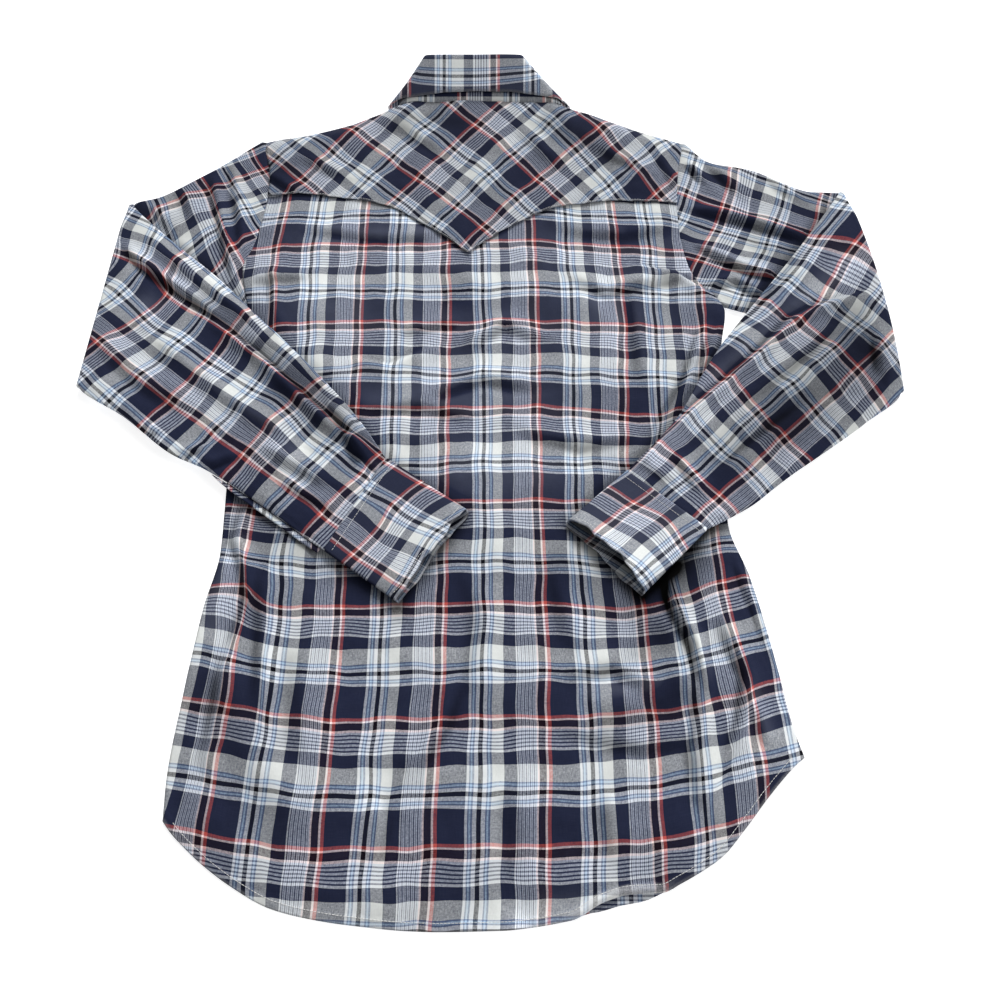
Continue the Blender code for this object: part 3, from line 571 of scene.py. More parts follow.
def beside(places, x, y):
    """Share along a line, distance from it, signed distance to its left, and its way."""
    x, y = np.broadcast_arrays(np.asarray(x, float), np.asarray(y, float))
    ends = np.array(places, float)
    runs = np.diff(ends, axis=0)
    sizes = np.hypot(runs[:, 0], runs[:, 1])
    starts = np.concatenate([[0.0], np.cumsum(sizes)]) / sizes.sum()
    best = None
    for k, ((x0, y0), (run_x, run_y), size) in enumerate(zip(ends, runs, sizes)):
        near = np.clip(((x - x0) * run_x + (y - y0) * run_y) / size**2, 0.0, 1.0)
        off = np.hypot(x - x0 - near * run_x, y - y0 - near * run_y)
        signed = ((y - y0) * run_x - (x - x0) * run_y) / size
        share = mix(starts[k], starts[k + 1], near)
        way_x, way_y = np.full(x.shape, run_x / size), np.full(x.shape, run_y / size)
        found = (share, off, signed, way_x, way_y)
        if best is None:
            best = found
        else:
            nearer = off < best[1]
            best = tuple(np.where(nearer, new, old) for new, old in zip(found, best))
    return best


def folds(table, x, y):
    """Height of a set of folds at each point: steep on the right of their line, with a soft
    trough beyond it, gentle on the left, and tapering to rounded ends."""
    total = np.zeros(np.broadcast(x, y).shape)
    for half, height, _, *places in table:
        share, off, signed, *_ = beside(places, x, y)
        steep = signed < 0
        bump = bell(off, np.where(steep, FOLD_STEEP, FOLD_SOFT) * half)
        trough = FOLD_TROUGH * bell(off - TROUGH_AT * half, TROUGH_HALF * half) * steep
        taper = 1 - FOLD_TAPER * np.abs(2 * share - 1) ** 3
        raised = FOLD_RISE * height * (bump - trough) * taper
        total += np.where(off < FOLD_END * half, raised, 0.0)
    return total


def creases(table, x, y):
    """How deep in the shade of a fold each place lies, from 0 to 1."""
    total = np.zeros(np.broadcast(x, y).shape)
    for half, height, _, *places in table:
        share, off, signed, *_ = beside(places, x, y)
        near = bell(off - CREASE_AT * half, CREASE_HALF * half) * (signed < 0)
        total = np.maximum(total, height / CREASE_DEEP * near * (1 - np.abs(2 * share - 1) ** 3))
    return np.clip(total, 0.0, 1.0)


def tones(table, x, y):
    """The broad soft lights and shades at each place, shade over 0 and light under it."""
    return sum(amount * bell(beside(places, x, y)[1], half) for half, amount, *places in table)


def arm_cast(x, y, amount, reach):
    """The shade beside the outline of a forearm that lies over a piece."""
    closest = np.inf
    for table, (upper, lower, *_) in ((LEFT_SLEEVE, LEFT_CUFF), (RIGHT_SLEEVE, RIGHT_CUFF)):
        rows = [row for row in table if row[0] >= 1]
        upper_line = [row[1:3] for row in rows] + [upper]
        lower_line = [row[3:5] for row in rows] + [lower]
        for line in (upper_line, lower_line, [upper, lower]):
            closest = np.minimum(closest, beside(line, x, y)[1])
    return amount * bell(closest, reach)


def waves(x, y, size, turn=0.0):
    """Gentle uneven waves of about one millimetre each way, this many millimetres long."""
    total = 0.0
    for k, (angle, scale) in enumerate(((0.3, 1.0), (1.25, 0.81), (2.1, 1.27), (2.75, 0.67))):
        way = angle + turn
        along = (x * math.cos(way) + y * math.sin(way)) / (size * scale)
        total = total + np.sin(2 * math.pi * along + 1.7 * k + 0.9 * np.sin(along * 2.3 + k))
    return total / 2.4


def ripples(table, x, y):
    return sum(height * waves(x, y, size, turn) for height, size, turn in table)


def uneven(table, share):
    return sum(size * np.sin(rate * share + start) for size, rate, start in table)


def taken(table, x, y):
    """Where the cloth at each point would lie if the folds beside it hadn't taken any up."""
    flat_x, flat_y = np.array(x, float), np.array(y, float)
    for half, _, take, *places in table:
        if not take:
            continue
        _, off, signed, way_x, way_y = beside(places, x, y)
        shift = take * (step(-half / 2, half / 2, signed) - 0.5) * bell(off, TAKE_REACH * half)
        flat_x -= shift * way_y
        flat_y += shift * way_x
    return flat_x + ripples(WARP_DRIFT, x, y), flat_y + ripples(WEFT_DRIFT, x, y)


def front_stack(x):
    return STACK * (1 - step(*STACK_SLOPE, np.abs(x - CENTRE_X) - BAND_HALF))


def collar_points(x, y):
    return POINTS_RISE * step(*POINTS_Y, y) * (1 - step(*POINTS_HALF, np.abs(x - CENTRE_X)))


def yoke_edge(x):
    reach = x - TIP_X
    return TIP_Y + curve(YOKE_RISE, np.abs(reach)) - YOKE_LEAN * reach


def yoke_lap(x):
    """The back's upper edge, hidden under the yoke."""
    return yoke_edge(x) + LAP


def hem(x):
    return curve(HEM, x)


def shoulder(x):
    return curve(SHOULDER, x)


def body_left(y):
    return curve(LEFT_SIDE, y)


def body_right(y):
    return curve(RIGHT_SIDE, y)


def under_sleeve(x, y):
    """One where a folded forearm presses the back flat, zero away from it."""
    offs = [beside(places, x, y)[1] for places in FOREARMS]
    return 1 - step(PRESSED, PRESSED + 20, np.minimum(*offs))


def hem_distance(x, y):
    """How far a point is inside the hem, square to it."""
    slope = (hem(x + 2) - hem(x - 2)) / 4
    return (y - hem(x)) / np.hypot(1.0, slope)


def back_height(x, y):
    """Middle of the back's wall over the table."""
    side = np.minimum(x - body_left(y), body_right(y) - x)
    arm = (ARM_Z - EDGE_Z) * step(*ARMHOLE_Y, y)
    neck = 1 - step(*NECK_HALF, np.abs(x - CENTRE_X))
    ends = swell((y - hem(x)) / HEM_SWELL)
    ends = ends * mix(swell((shoulder(x) - y) / SHOULDER_SWELL), 1.0, neck)
    puff = (arm + (PUFF - arm) * swell(side / SIDE_SWELL)) * ends
    stack = np.maximum(front_stack(x), collar_points(x, y))
    calm = 1 - PRESSED_SHARE * under_sleeve(x, y)
    calm = calm * np.clip((side + 2) / 9.0, 0.0, 1.0) * step(0.0, 0.8, ends)
    soft = folds(BACK_FOLDS, x, y) + ripples(BACK_WAVES, x, y)
    return EDGE_Z + (puff**4 + stack**4) ** 0.25 + calm * soft


def curled(x):
    """One where the hem curls up and shows its pale turned edge, zero away from it."""
    return np.exp(-(((x - CURL[0]) / CURL[1]) ** 4))


def back_top(x, y):
    """The back with its narrow hem and the small puckers that its stitching draws."""
    inside = hem_distance(x, y)
    band = HEM_RISE * (1 - step(HEM_WIDTH - 0.7, HEM_WIDTH + 0.7, inside))
    pucker = HEM_PUCKER * bell(inside, 14.0) * waves(x, y, 13, 0.2) * step(0.0, 3.0, inside)
    rolled = CURL[2] * curled(x) * bell(inside - 2.5, 3.0)
    return back_height(x, y) + band + pucker + rolled


def front_height(x, y, wearers_left):
    past_band = np.abs(x - CENTRE_X) - BAND_HALF
    placket = FRONT_RISE[wearers_left] * (1 - step(*FRONT_SLOPE, past_band))
    return CLOTH / 2 + np.maximum(placket, collar_points(x, y))


def yoke_height(x, y):
    above = y - yoke_edge(x)
    lapped = (CLOTH + 3 * SEAM) * (1 - step(*LAP_SLOPE, above - LAP))
    ride_x, ride_half = RIDE_AT
    ride = RIDE * bell(np.abs(x - CENTRE_X) - ride_x, ride_half) * step(*RIDE_Y, y)
    high = np.clip((shoulder(x) - y) / SHOULDER_FLAT, 0.0, 1.0)
    pucker = YOKE_PUCKER * bell(above, 12.0) * waves(x, y, 12)
    return back_height(x, y) + lapped + ride + high * folds(YOKE_FOLDS, x, y) + pucker


def spread(*stops):
    """Shares with a chosen number of even cells between stops: share, cells, share, ..."""
    found = [stops[0]]
    for k in range(1, len(stops) - 1, 2):
        cells = stops[k]
        found += [mix(stops[k - 1], stops[k + 1], (i + 1) / cells) for i in range(cells)]
    return np.array(found)


def panel(shares, lengths, left_at, right_at, low, high):
    """Places of a grid between two side curves and two end lines."""
    ends = []
    for line in (low, high):
        y = np.zeros_like(shares)
        for _ in range(8):
            y = line(mix(left_at(y), right_at(y), shares))
        ends.append(y)
    y = mix(ends[0][None, :], ends[1][None, :], lengths[:, None])
    return mix(left_at(y), right_at(y), shares[None, :]), y


def check_map(crossings, table=()):
    """The place on the woven check of any place on a piece: a thin plate through crossings."""
    rows = np.array(crossings, float)
    at = np.column_stack(taken(table, rows[:, 0], rows[:, 1])) / 100
    to = rows[:, 2:] + np.array(RED_AT)

    def bend(a, b):
        apart = ((a[:, None, :] - b[None, :, :]) ** 2).sum(2)
        return 0.5 * apart * np.log(apart + 1e-12)

    count = len(rows)
    system = np.zeros((count + 3, count + 3))
    system[:count, :count] = bend(at, at) + PLATE_EASE * np.eye(count)
    system[:count, count:] = np.column_stack([np.ones(count), at])
    system[count:, :count] = system[:count, count:].T
    weights = np.linalg.solve(system, np.vstack([to, np.zeros((3, 2))]))

    def where(x, y):
        x, y = np.broadcast_arrays(x, y)
        points = np.column_stack([np.ravel(v) for v in taken(table, x, y)]) / 100
        found = bend(points, at) @ weights[:count]
        found += np.column_stack([np.ones(len(points)), points]) @ weights[count:]
        return found.reshape(*np.shape(x), 2)

    return where


def plain_map(x, y, x0=0.0, y0=0.0):
    """The check laid straight, as on the pieces that lie underneath."""
    return stacked((x - x0) / REPEAT[0], (y - y0) / REPEAT[1])


def new_object(name, data):
    made = bpy.data.objects.new(name, data)
    bpy.context.scene.collection.objects.link(made)
    return made


def smooth_piece(name, points, faces, finish):
    """A mesh of its own from points in millimetres and the corners of its faces."""
    mesh = bpy.data.meshes.new(name)
    mesh.from_pydata((points * MM).tolist(), [], faces)
    mesh.polygons.foreach_set("use_smooth", np.ones(len(mesh.polygons), bool))
    mesh.materials.append(FINISHES[finish])
    return new_object(name, mesh)


def sheet(name, points, check, worn=None, shade=None, lower_check=None, upper=None, wall=SHIRTING):
    """A cloth piece: a wall round a grid of points, with the check's places in its UV map.
    With lower_check the rows run round a tube, and columns outside upper take that map."""
    rows, count = points.shape[:2]
    closed = lower_check is not None
    columns = np.arange(count if closed else count - 1)
    after = (columns + 1) % count
    first = np.arange(rows - 1)[:, None] * count
    corners = np.stack(
        [first + columns, first + after, first + count + after, first + count + columns], axis=-1
    ).reshape(-1, 4)
    flat = check.reshape(-1, 2)[corners]
    if closed:
        under = np.broadcast_to(~upper, (rows - 1, count)).reshape(-1)
        flat[under] = lower_check.reshape(-1, 2)[corners[under]]
    made = smooth_piece(name, points.reshape(-1, 3), corners.tolist(), "check")
    mesh = made.data
    layer = mesh.uv_layers.new(name="check")
    layer.data.foreach_set("uv", flat.astype(np.float32).ravel())
    for label, values in (("worn", worn), ("shade", shade)):
        given = mesh.attributes.new(label, "FLOAT", "POINT")
        if values is not None:
            values = np.broadcast_to(np.clip(values, *SHADE_RANGE), (rows, count))
            given.data.foreach_set("value", values.astype(np.float32).ravel())
    thick = made.modifiers.new("wall", "SOLIDIFY")
    thick.thickness = wall * MM
    thick.offset = 0.0
    thick.use_even_offset = False
    node, cut, held, rests_on, area = CUTS[name]
    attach(made, "root")
    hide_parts(node)


# ---------------------------------------------------------------- finishes


class Value:
    """A socket of the finish under way, on which sums are written as ordinary maths."""

    def __init__(self, finish, socket):
        self.finish, self.socket = finish, socket

    def sum(self, operation, *values):
        return self.finish.node("ShaderNodeMath", {"operation": operation}, dict(enumerate(values)))

    def sine(self):
        return self.sum("SINE", self)

    def share(self):
        return self.sum("FRACT", self)


# The signs +, - and *, with a value on their left or their right.
for sign, word in (("add", "ADD"), ("sub", "SUBTRACT"), ("mul", "MULTIPLY")):
    setattr(Value, f"__{sign}__", lambda a, b, word=word: a.sum(word, a, b))
    setattr(Value, f"__r{sign}__", lambda a, b, word=word: a.sum(word, b, a))


def add_node(tree, kind, settings, values):
    """One node of a tree: its settings, then the values or the outputs for its sockets."""
    made = tree.nodes.new(kind)
    for name, setting in settings.items():
        if name == "stops":
            fill_ramp(made.color_ramp, setting)
        else:
            setattr(made, name, setting)
    for key, value in values.items():
        source = value.socket if isinstance(value, Value) else value
        if isinstance(source, bpy.types.NodeSocket):
            tree.links.new(source, made.inputs[key])
        else:
            made.inputs[key].default_value = source
    return made


class Finish:
    """One material, made from nodes. Settings are the same all over and are named as sockets."""

    def __init__(self, name, **settings):
        self.material = bpy.data.materials.new(name)
        self.material.use_nodes = True
        self.tree = self.material.node_tree
        self.shader = self.tree.nodes["Principled BSDF"]
        for socket, value in settings.items():
            self.shader.inputs[socket.replace("_", " ")].default_value = value
        self.body = self.node("ShaderNodeTexCoord", {}, {}, out=3)

    def node(self, kind, settings, values, out=0):
        return Value(self, add_node(self.tree, kind, settings, values).outputs[out])

    def noise(self, scale, detail=2.0, roughness=0.5, vector=None):
        values = {"Scale": scale, "Detail": detail, "Roughness": roughness}
        values["Vector"] = self.body if vector is None else vector
        return self.node("ShaderNodeTexNoise", {}, values)

    def yarn_noise(self, x, y, z=0.0, detail=2.0):
        place = self.node("ShaderNodeCombineXYZ", {}, {0: x, 1: y, 2: z})
        return self.noise(1.0, detail, vector=place)

    def painted(self, label):
        """A number painted on the mesh's points."""
        return self.node("ShaderNodeAttribute", {"attribute_name": label}, {}, out=2)

    def blend(self, share, a, b):
        settings = {"data_type": "RGBA"}
        return self.node("ShaderNodeMix", settings, {0: share, 6: a, 7: b}, out=2)

    def shaded(self, colour, amount):
        return self.node("ShaderNodeVectorMath", {"operation": "SCALE"}, {0: colour, 3: amount})

    def bump(self, height, distance, strength, **under):
        values = {"Height": height, "Distance": distance, "Strength": strength, **under}
        return self.node("ShaderNodeBump", {}, values)

    def feed(self, **sockets):
        for name, value in sockets.items():
            self.tree.links.new(value.socket, self.shader.inputs[name.replace("_", " ")])
        return self.material


def fill_ramp(ramp, stops):
    """Hard-edged bands: each colour holds from its place to the next."""
    ramp.interpolation = "CONSTANT"
    for _ in range(len(stops) - 2):
        ramp.elements.new(0.5)
    for element, (place, colour) in zip(ramp.elements, stops):
        element.position = place
        element.color = (*colour, 1.0)


def linear(colour):
    """Light that a colour of 0 to 255 gives back."""
    shares = [value / 255 for value in colour]
    return [v / 12.92 if v <= 0.04045 else ((v + 0.055) / 1.055) ** 2.4 for v in shares]


def stops(table):
    return [(place, [v**MIX_POWER for v in linear(YARNS[yarn])]) for place, yarn in table]


def bands(finish, share, table, hairs):
    """One yarn system's colour at a share of its repeat, with fine lines in its stripes."""
    low, high, times, lines = hairs
    plain = finish.node("ShaderNodeValToRGB", {"stops": stops(table)}, {0: share})
    fine = ((share - low) * (times / (high - low))).share()
    lined = finish.node("ShaderNodeValToRGB", {"stops": stops(lines)}, {0: fine})
    inside = share.sum("GREATER_THAN", share, low) * share.sum("LESS_THAN", share, high)
    return finish.blend(inside, plain, lined)


MIX_POWER = 0.6  # crossing yarns are mixed on this scale
WEAVE_SHOW = 0.16  # how far the weave, the thick yarns and the grain bring one yarn system up
SLUB_SHOW = 0.2
GRAIN_SHOW = 0.36
DYED_LIGHT = 0.725  # least light of the dyed yarns, and what each unevenness adds
SLUB_LIGHT = 0.1
MOTTLE_LIGHT = 0.14
GRAIN_LIGHT = 0.14
SHADE_DEPTH = 0.8  # of the light that the deepest creases lose
FLECK = 0.09  # how far thick crossings pale
FLECK_COLOUR = (0.40, 0.42, 0.48, 1.0)
PAINTED_SHEEN = 0.2  # how far a painted sheen veils the cloth pale where its shade is under 0
PAINTED_SHEEN_COLOUR = (0.62, 0.66, 0.76, 1.0)
FRAY_AND_HIGHLIGHT = 0.32  # how far fraying edges go pale, and how far the painted highlight along the yoke's rolled edge pales it
FRAY_AND_HIGHLIGHT_COLOUR = (0.72, 0.73, 0.74, 1.0)
CRINKLE = (0.0011, 0.55)  # depth in metres, strength
WEAVE_RELIEF = (0.00016, 0.4)
FLOOR_GLOW = 1.25  # light from the table itself, which leaves only pale shadows on it


def check_finish():
    """Yarn-dyed check: each yarn system has its own bands, and the two are mixed as they cross."""
    finish = Finish(
        "yarn_dyed_check", Roughness=0.85, Sheen_Weight=0.008, Specular_IOR_Level=0.04
    )
    at = finish.node("ShaderNodeUVMap", {"uv_map": "check"}, {})
    across, along = (finish.node("ShaderNodeSeparateXYZ", {}, {0: at}, out=k) for k in (0, 1))
    warp = bands(finish, across.share(), WARP, WARP_HAIRS)
    weft = bands(finish, along.share(), WEFT, WEFT_HAIRS)
    turn = 2 * math.pi * THREADS
    weave = (across * turn).sine() * (along * turn).sine()
    slub_warp = finish.yarn_noise(across * THREADS, along * 9.0)
    slub_weft = finish.yarn_noise(across * 9.0, along * THREADS, 7.0)
    grain_warp = finish.yarn_noise(across * 80, along * 34, 3.0, 1.0)
    grain_weft = finish.yarn_noise(across * 38, along * 84, 5.0, 1.0)
    uneven_yarns = (slub_warp - slub_weft) * SLUB_SHOW
    over = 0.5 + weave * WEAVE_SHOW + uneven_yarns + (grain_warp - grain_weft) * GRAIN_SHOW
    cloth = finish.node(
        "ShaderNodeGamma", {}, {0: finish.blend(over, warp, weft), 1: 1 / MIX_POWER}
    )
    thick = (slub_warp + slub_weft) * SLUB_LIGHT
    mottle = finish.noise(9.0, 3.0) * MOTTLE_LIGHT
    light = DYED_LIGHT + thick + mottle + grain_warp * GRAIN_LIGHT
    fleck = slub_warp * slub_weft
    cloth = finish.blend(fleck * fleck * FLECK, cloth, FLECK_COLOUR)
    shade = finish.painted("shade")
    cloth = finish.shaded(cloth, light * (1 - shade * SHADE_DEPTH))
    # Painted sheen: where the painted shade is under 0, the cloth is veiled pale as if it caught
    # the light.
    cloth = finish.blend(shade.sum("MAXIMUM", shade * -PAINTED_SHEEN, 0.0), cloth, PAINTED_SHEEN_COLOUR)
    # Pale at fraying edges, and a painted highlight along the yoke's rolled edge.
    worn = finish.painted("worn") * finish.noise(900.0)
    cloth = finish.blend(worn * FRAY_AND_HIGHLIGHT, cloth, FRAY_AND_HIGHLIGHT_COLOUR)
    fine = finish.noise(75.0, 3.0, 0.6)
    crinkle = finish.bump(fine, *CRINKLE)
    normal = finish.bump(weave * 0.5 + slub_warp + slub_weft, *WEAVE_RELIEF, Normal=crinkle)
    return finish.feed(Base_Color=cloth, Roughness=0.78 + fine * 0.14, Normal=normal)


def thread_finish():
    finish = Finish("white_thread", Roughness=0.6, Sheen_Weight=0.1)
    ply = finish.node(
        "ShaderNodeTexWave", {"wave_type": "BANDS", "bands_direction": "DIAGONAL"},
        {"Vector": finish.body, "Scale": 900.0, "Distortion": 1.0},
    )
    dust = finish.noise(220.0)
    colour = finish.blend(ply * 0.5 + dust * 0.3, (0.80, 0.80, 0.78, 1.0), (0.58, 0.58, 0.57, 1.0))
    return finish.feed(Base_Color=colour, Normal=finish.bump(ply, 0.0001, 0.5))


def pearl_finish():
    finish = Finish("pearl_snap", Roughness=0.22, Coat_Weight=0.6, Coat_Roughness=0.08)
    drift = finish.noise(260.0, 3.0, 0.6)
    cloud = finish.noise(420.0, vector=finish.shaded(finish.body, drift + 0.6))
    warm = finish.blend(cloud, (0.78, 0.76, 0.70, 1.0), (0.86, 0.88, 0.90, 1.0))
    rose = finish.blend(drift * 0.5, warm, (0.84, 0.74, 0.76, 1.0))
    return finish.feed(Base_Color=rose, Roughness=0.16 + cloud * 0.16)


def metal_finish():
    finish = Finish("snap_metal", Roughness=0.3, Metallic=1.0)
    brushed = finish.noise(1500.0)
    colour = finish.blend(brushed, (0.62, 0.62, 0.60, 1.0), (0.78, 0.78, 0.77, 1.0))
    return finish.feed(Base_Color=colour, Roughness=0.22 + brushed * 0.2)


def floor_finish():
    finish = Finish("pale_table", Roughness=0.9, Emission_Strength=FLOOR_GLOW)
    colour = finish.blend(finish.noise(40.0, 4.0), (0.58, 0.58, 0.58, 1.0), (0.62, 0.62, 0.62, 1.0))
    return finish.feed(Base_Color=colour, Emission_Color=colour)


FINISHES = {
    "check": check_finish(),
    "thread": thread_finish(),
    "pearl": pearl_finish(),
    "metal": metal_finish(),
    "floor": floor_finish(),
}


# ---------------------------------------------------------------- body


def build_back():
    tip = (TIP_X - body_left(TIP_Y)) / (body_right(TIP_Y) - body_left(TIP_Y))
    shares = spread(0.0, 3, 0.012, 82, float(tip), 80, 0.988, 3, 1.0)
    lengths = spread(0.0, 9, 0.02, 218, 1.0)
    x, y = panel(shares, lengths, body_left, body_right, hem, yoke_lap)
    check = check_map(BACK_CHECK, BACK_FOLDS)(x, y)
    inside = hem_distance(x, y)
    turned_up = CURL_PALE * curled(x) * (1 - step(4.5, 7.0, inside))
    worn = 1 - step(0.0, 3.0, inside) + turned_up
    shade = np.maximum(creases(BACK_FOLDS, x, y), arm_cast(x, y, *BACK_CAST))
    amount, reach = YOKE_CAST
    shade = shade + amount * bell(yoke_edge(x) - y, reach) + tones(BACK_TONES, x, y)
    sheet("back_cloth", stacked(x, y, back_top(x, y)), check, worn, shade)


def build_yoke():
    left_neck, right_neck, tip = 0.325, 0.715, 0.477
    shares = spread(0.0, 50, left_neck, 24, tip, 40, right_neck, 44, 1.0)
    lengths = spread(0.0, 4, 0.03, 58, 0.93, 6, 1.0)
    x, y = panel(shares, lengths, body_left, body_right, yoke_edge, shoulder)
    check = check_map(YOKE_CHECK, YOKE_FOLDS)(x, y)
    # Pale along the yoke's edge: a painted highlight on its rolled edge, as well as fraying.
    worn = 1 - step(0.0, 2.0, y - yoke_edge(x))
    under_collar = step(366, 374, y) * (1 - step(84, 98, np.abs(x - CENTRE_X)))
    shade = np.maximum(creases(YOKE_FOLDS, x, y), COLLAR_CAST * under_collar)
    shade = YOKE_SHADE + shade + tones(YOKE_TONES, x, y)
    sheet("yoke_cloth", stacked(x, y, yoke_height(x, y)), check, worn, shade)


def front_top(x):
    neck = np.abs(x - CENTRE_X) < 90
    return np.where(neck, curve(FRONT_NECK, x), shoulder(x) - SHOULDER_GAP)


def front_hem(x):
    x = np.clip(x, -244, 240)
    return hem(x) + curve(FRONT_TAIL, x)


def front_edge(side):
    """A front's straight inner edge, along one side of the band."""
    return lambda y: np.full(np.shape(y), CENTRE_X + side * BAND_HALF)


def build_fronts():
    lengths = spread(0.0, 6, 0.015, 90, 0.80, 26, 1.0)
    for name, shares, sides, wearers_left in (
        ("front_cloth_left", spread(0.0, 26, 0.56, 12, 0.80, 16, 1.0),
         (body_left, front_edge(1)), True),
        ("front_cloth_right", spread(0.0, 14, 0.21, 12, 0.46, 22, 1.0),
         (front_edge(-1), body_right), False),
    ):
        x, y = panel(shares, lengths, *sides, front_hem, front_top)
        z = front_height(x, y, wearers_left)
        sheet(name, stacked(x, y, z), plain_map(x, y, *FRONT_START))


def build_band():
    x = np.linspace(CENTRE_X - BAND_HALF, CENTRE_X + BAND_HALF, 9)[None, :]
    y = mix(front_hem(x) + 0.5, BAND_TOP, spread(0.0, 90, 1.0)[:, None])
    points = stacked(x, y, SNAP_H + SEAM + CLOTH / 2)
    sheet("placket_band", points, plain_map(points[..., 0], y, *FRONT_START))


# ---------------------------------------------------------------- collar


def unit(vectors):
    return vectors / np.linalg.norm(vectors, axis=-1, keepdims=True)


def collar_spot(share, first):
    stations = [(k / COLLAR_LAST, *row) for k, row in enumerate(COLLAR)]
    return np.stack([curve(stations, share, first + k) for k in range(3)], axis=-1)


def leaf_edge(share):
    """The leaf's edge, straight between its stations so that its points stay sharp."""
    places = np.arange(len(COLLAR)) / COLLAR_LAST
    return stacked(*(np.interp(share, places, [row[k] for row in COLLAR]) for k in (6, 7, 8)))


def build_stand():
    shares = spread(0.0, 12 * COLLAR_LAST, 1.0)
    levels = np.linspace(-0.05, 1.0, 12)
    seam, fold = collar_spot(shares, 1), collar_spot(shares, 4)
    points = mix(seam[:, None], fold[:, None], levels[None, :, None])
    repeat, red_x, red_share, at_seam, up_to_fold = STAND_CHECK
    check = stacked(at_seam + up_to_fold * levels, (points[..., 0] - red_x) / repeat + red_share)
    shade = STAND_CAST * step(0.05, 0.4, levels)
    sheet("collar_stand_cloth", points, check, None, shade)


def build_leaf():
    first, last = 1 / COLLAR_LAST, 1 - 1 / COLLAR_LAST
    shares = spread(LEAF_ENDS[0], 6, first, 10 * (COLLAR_LAST - 2), last, 6, LEAF_ENDS[1])
    seam, fold = collar_spot(shares, 1), collar_spot(shares, 4)
    up = unit(fold - seam)
    near = 0.4 / COLLAR_LAST
    out = unit(np.cross(collar_spot(shares + near, 4) - collar_spot(shares - near, 4), up))
    roll = [fold + up * a + out * b for a, b in LEAF_ROLL]
    fall = [mix(roll[-1], leaf_edge(shares), s) for s in np.linspace(0.0, 1.0, 13)[1:]]
    leaf = np.stack(roll + fall, axis=1)
    strips = np.linalg.norm(np.diff(leaf, axis=1), axis=2)
    run_down = np.concatenate([np.zeros((len(leaf), 1)), np.cumsum(strips, axis=1)], axis=1)
    repeat, red_x, red_share, at_fold = COLLAR_CHECK
    down = at_fold - run_down / REPEAT[1]
    check = stacked(down, (leaf[..., 0] - red_x) / repeat + red_share)
    worn = np.zeros(leaf.shape[:2])
    worn[:, -1] = 1.0
    worn[:, :4] = 0.4
    shade = LEAF_SHADE + LEAF_END_SHADE * step(0.62, 0.78, shares[:, None])
    sheet("collar_leaf_cloth", leaf, check, worn, shade)


# ---------------------------------------------------------------- sleeves


def sleeve_ring(cells, turns):
    """Points round a flattened tube: share across, share of height, reach past the edge."""
    top = np.linspace(0.0, 1.0, cells + 1)
    flat = np.zeros(cells + 1)
    angles = np.linspace(0.0, math.pi, turns + 1)[1:-1]
    level = 0.5 + 0.5 * np.cos(angles)
    reach = np.sin(angles)
    share = np.concatenate([top, np.ones(turns - 1), top[::-1], np.zeros(turns - 1)])
    levels = np.concatenate([flat + 1, level, flat, level[::-1]])
    out = np.concatenate([flat, reach, flat, -reach])
    return share[None, :], levels[None, :], TUBE / 2 * out[None, :]


def sleeve_edges(table, place):
    return [curve(table, place, column) for column in range(1, 6)]


def fold_line(table, share, side):
    x0, y0, x1, y1, bulge = sleeve_edges(table, 1.0)
    return mix(x0, x1, share) + side * (bulge * bow(share) - BEND_R), mix(y0, y1, share)


def arm_cover(table, x, y):
    """One where the forearm lies over the upper arm, zero clear of it."""
    rows = sorted(row[1:3] for row in table if 1 <= row[0] <= 1.8)
    if rows[0][0] < 0:
        rows = [(-a, b) for a, b in reversed(rows)]
    return step(-14, -2, curve(rows, np.abs(x)) - y)


def pinched(z, share, place):
    """Heights of the folded sleeve, pressed thinner at the elbow's upper corner."""
    pressed = (1 - step(0.0, 0.16, share)) * (1 - step(0.0, 0.25, np.abs(place - 1)))
    return CLOTH / 2 + (z - CLOTH / 2) * (1 - ELBOW_PINCH * pressed)


def free(share, place, windows):
    """One where a sleeve's upper side is free to fold, zero by its ends and edges."""
    along, across = windows
    return window(place, *along) * window(share, *across)


def arm_points(table, side_at, table_folds, place, ring, side):
    share, level, out = ring
    x0, y0, x1, y1, _ = sleeve_edges(table, place)
    first_y = mix(table[0][2], table[0][4], share)
    start = sleeve_edges(table, 0.0)
    end = sleeve_edges(table, 1.0)
    fold_x, _ = fold_line(table, share, side)
    to_side = (1 - place) ** 2
    x = mix(x0, x1, share) + (side_at(first_y) - mix(start[0], start[2], share)) * to_side
    x = x + (fold_x - mix(end[0], end[2], share)) * place**2 + side * ARM_GAP * (1 - place)
    y = mix(y0, y1, share) + (first_y - mix(start[1], start[3], share)) * to_side - out
    high = mix(ARM_Z, CLOTH / 2 + TUBE, step(0.0, 0.5, place))
    soft = folds(table_folds, x, y) + ripples(ARM_WAVES, x, y)
    soft = free(share, place, ARM_FREE) * soft * (1 - arm_cover(table, x, y))
    z = mix(CLOTH / 2, high, level) + np.where(level == 1.0, soft, 0.0)
    return stacked(x, y, pinched(z, share, place))


def bend_points(table, angle, ring, side):
    share, level, out = ring
    x, y = fold_line(table, share, side)
    rise = TUBE * level
    x = x + side * (BEND_R - rise) * np.sin(angle)
    z = CLOTH / 2 + BEND_R - (BEND_R - rise) * np.cos(angle)
    return stacked(x, y - out - SLIP * angle / math.pi, pinched(z, share, 1.0))


def lift(x, y):
    """How far the back raises a forearm over the height at which it leaves its fold."""
    over = (body_left(y) < x) & (x < body_right(y))
    return np.where(over, np.maximum(back_height(x, y) + CLOTH + REST_GAP - FORE_Z, 0.0), 0.0)


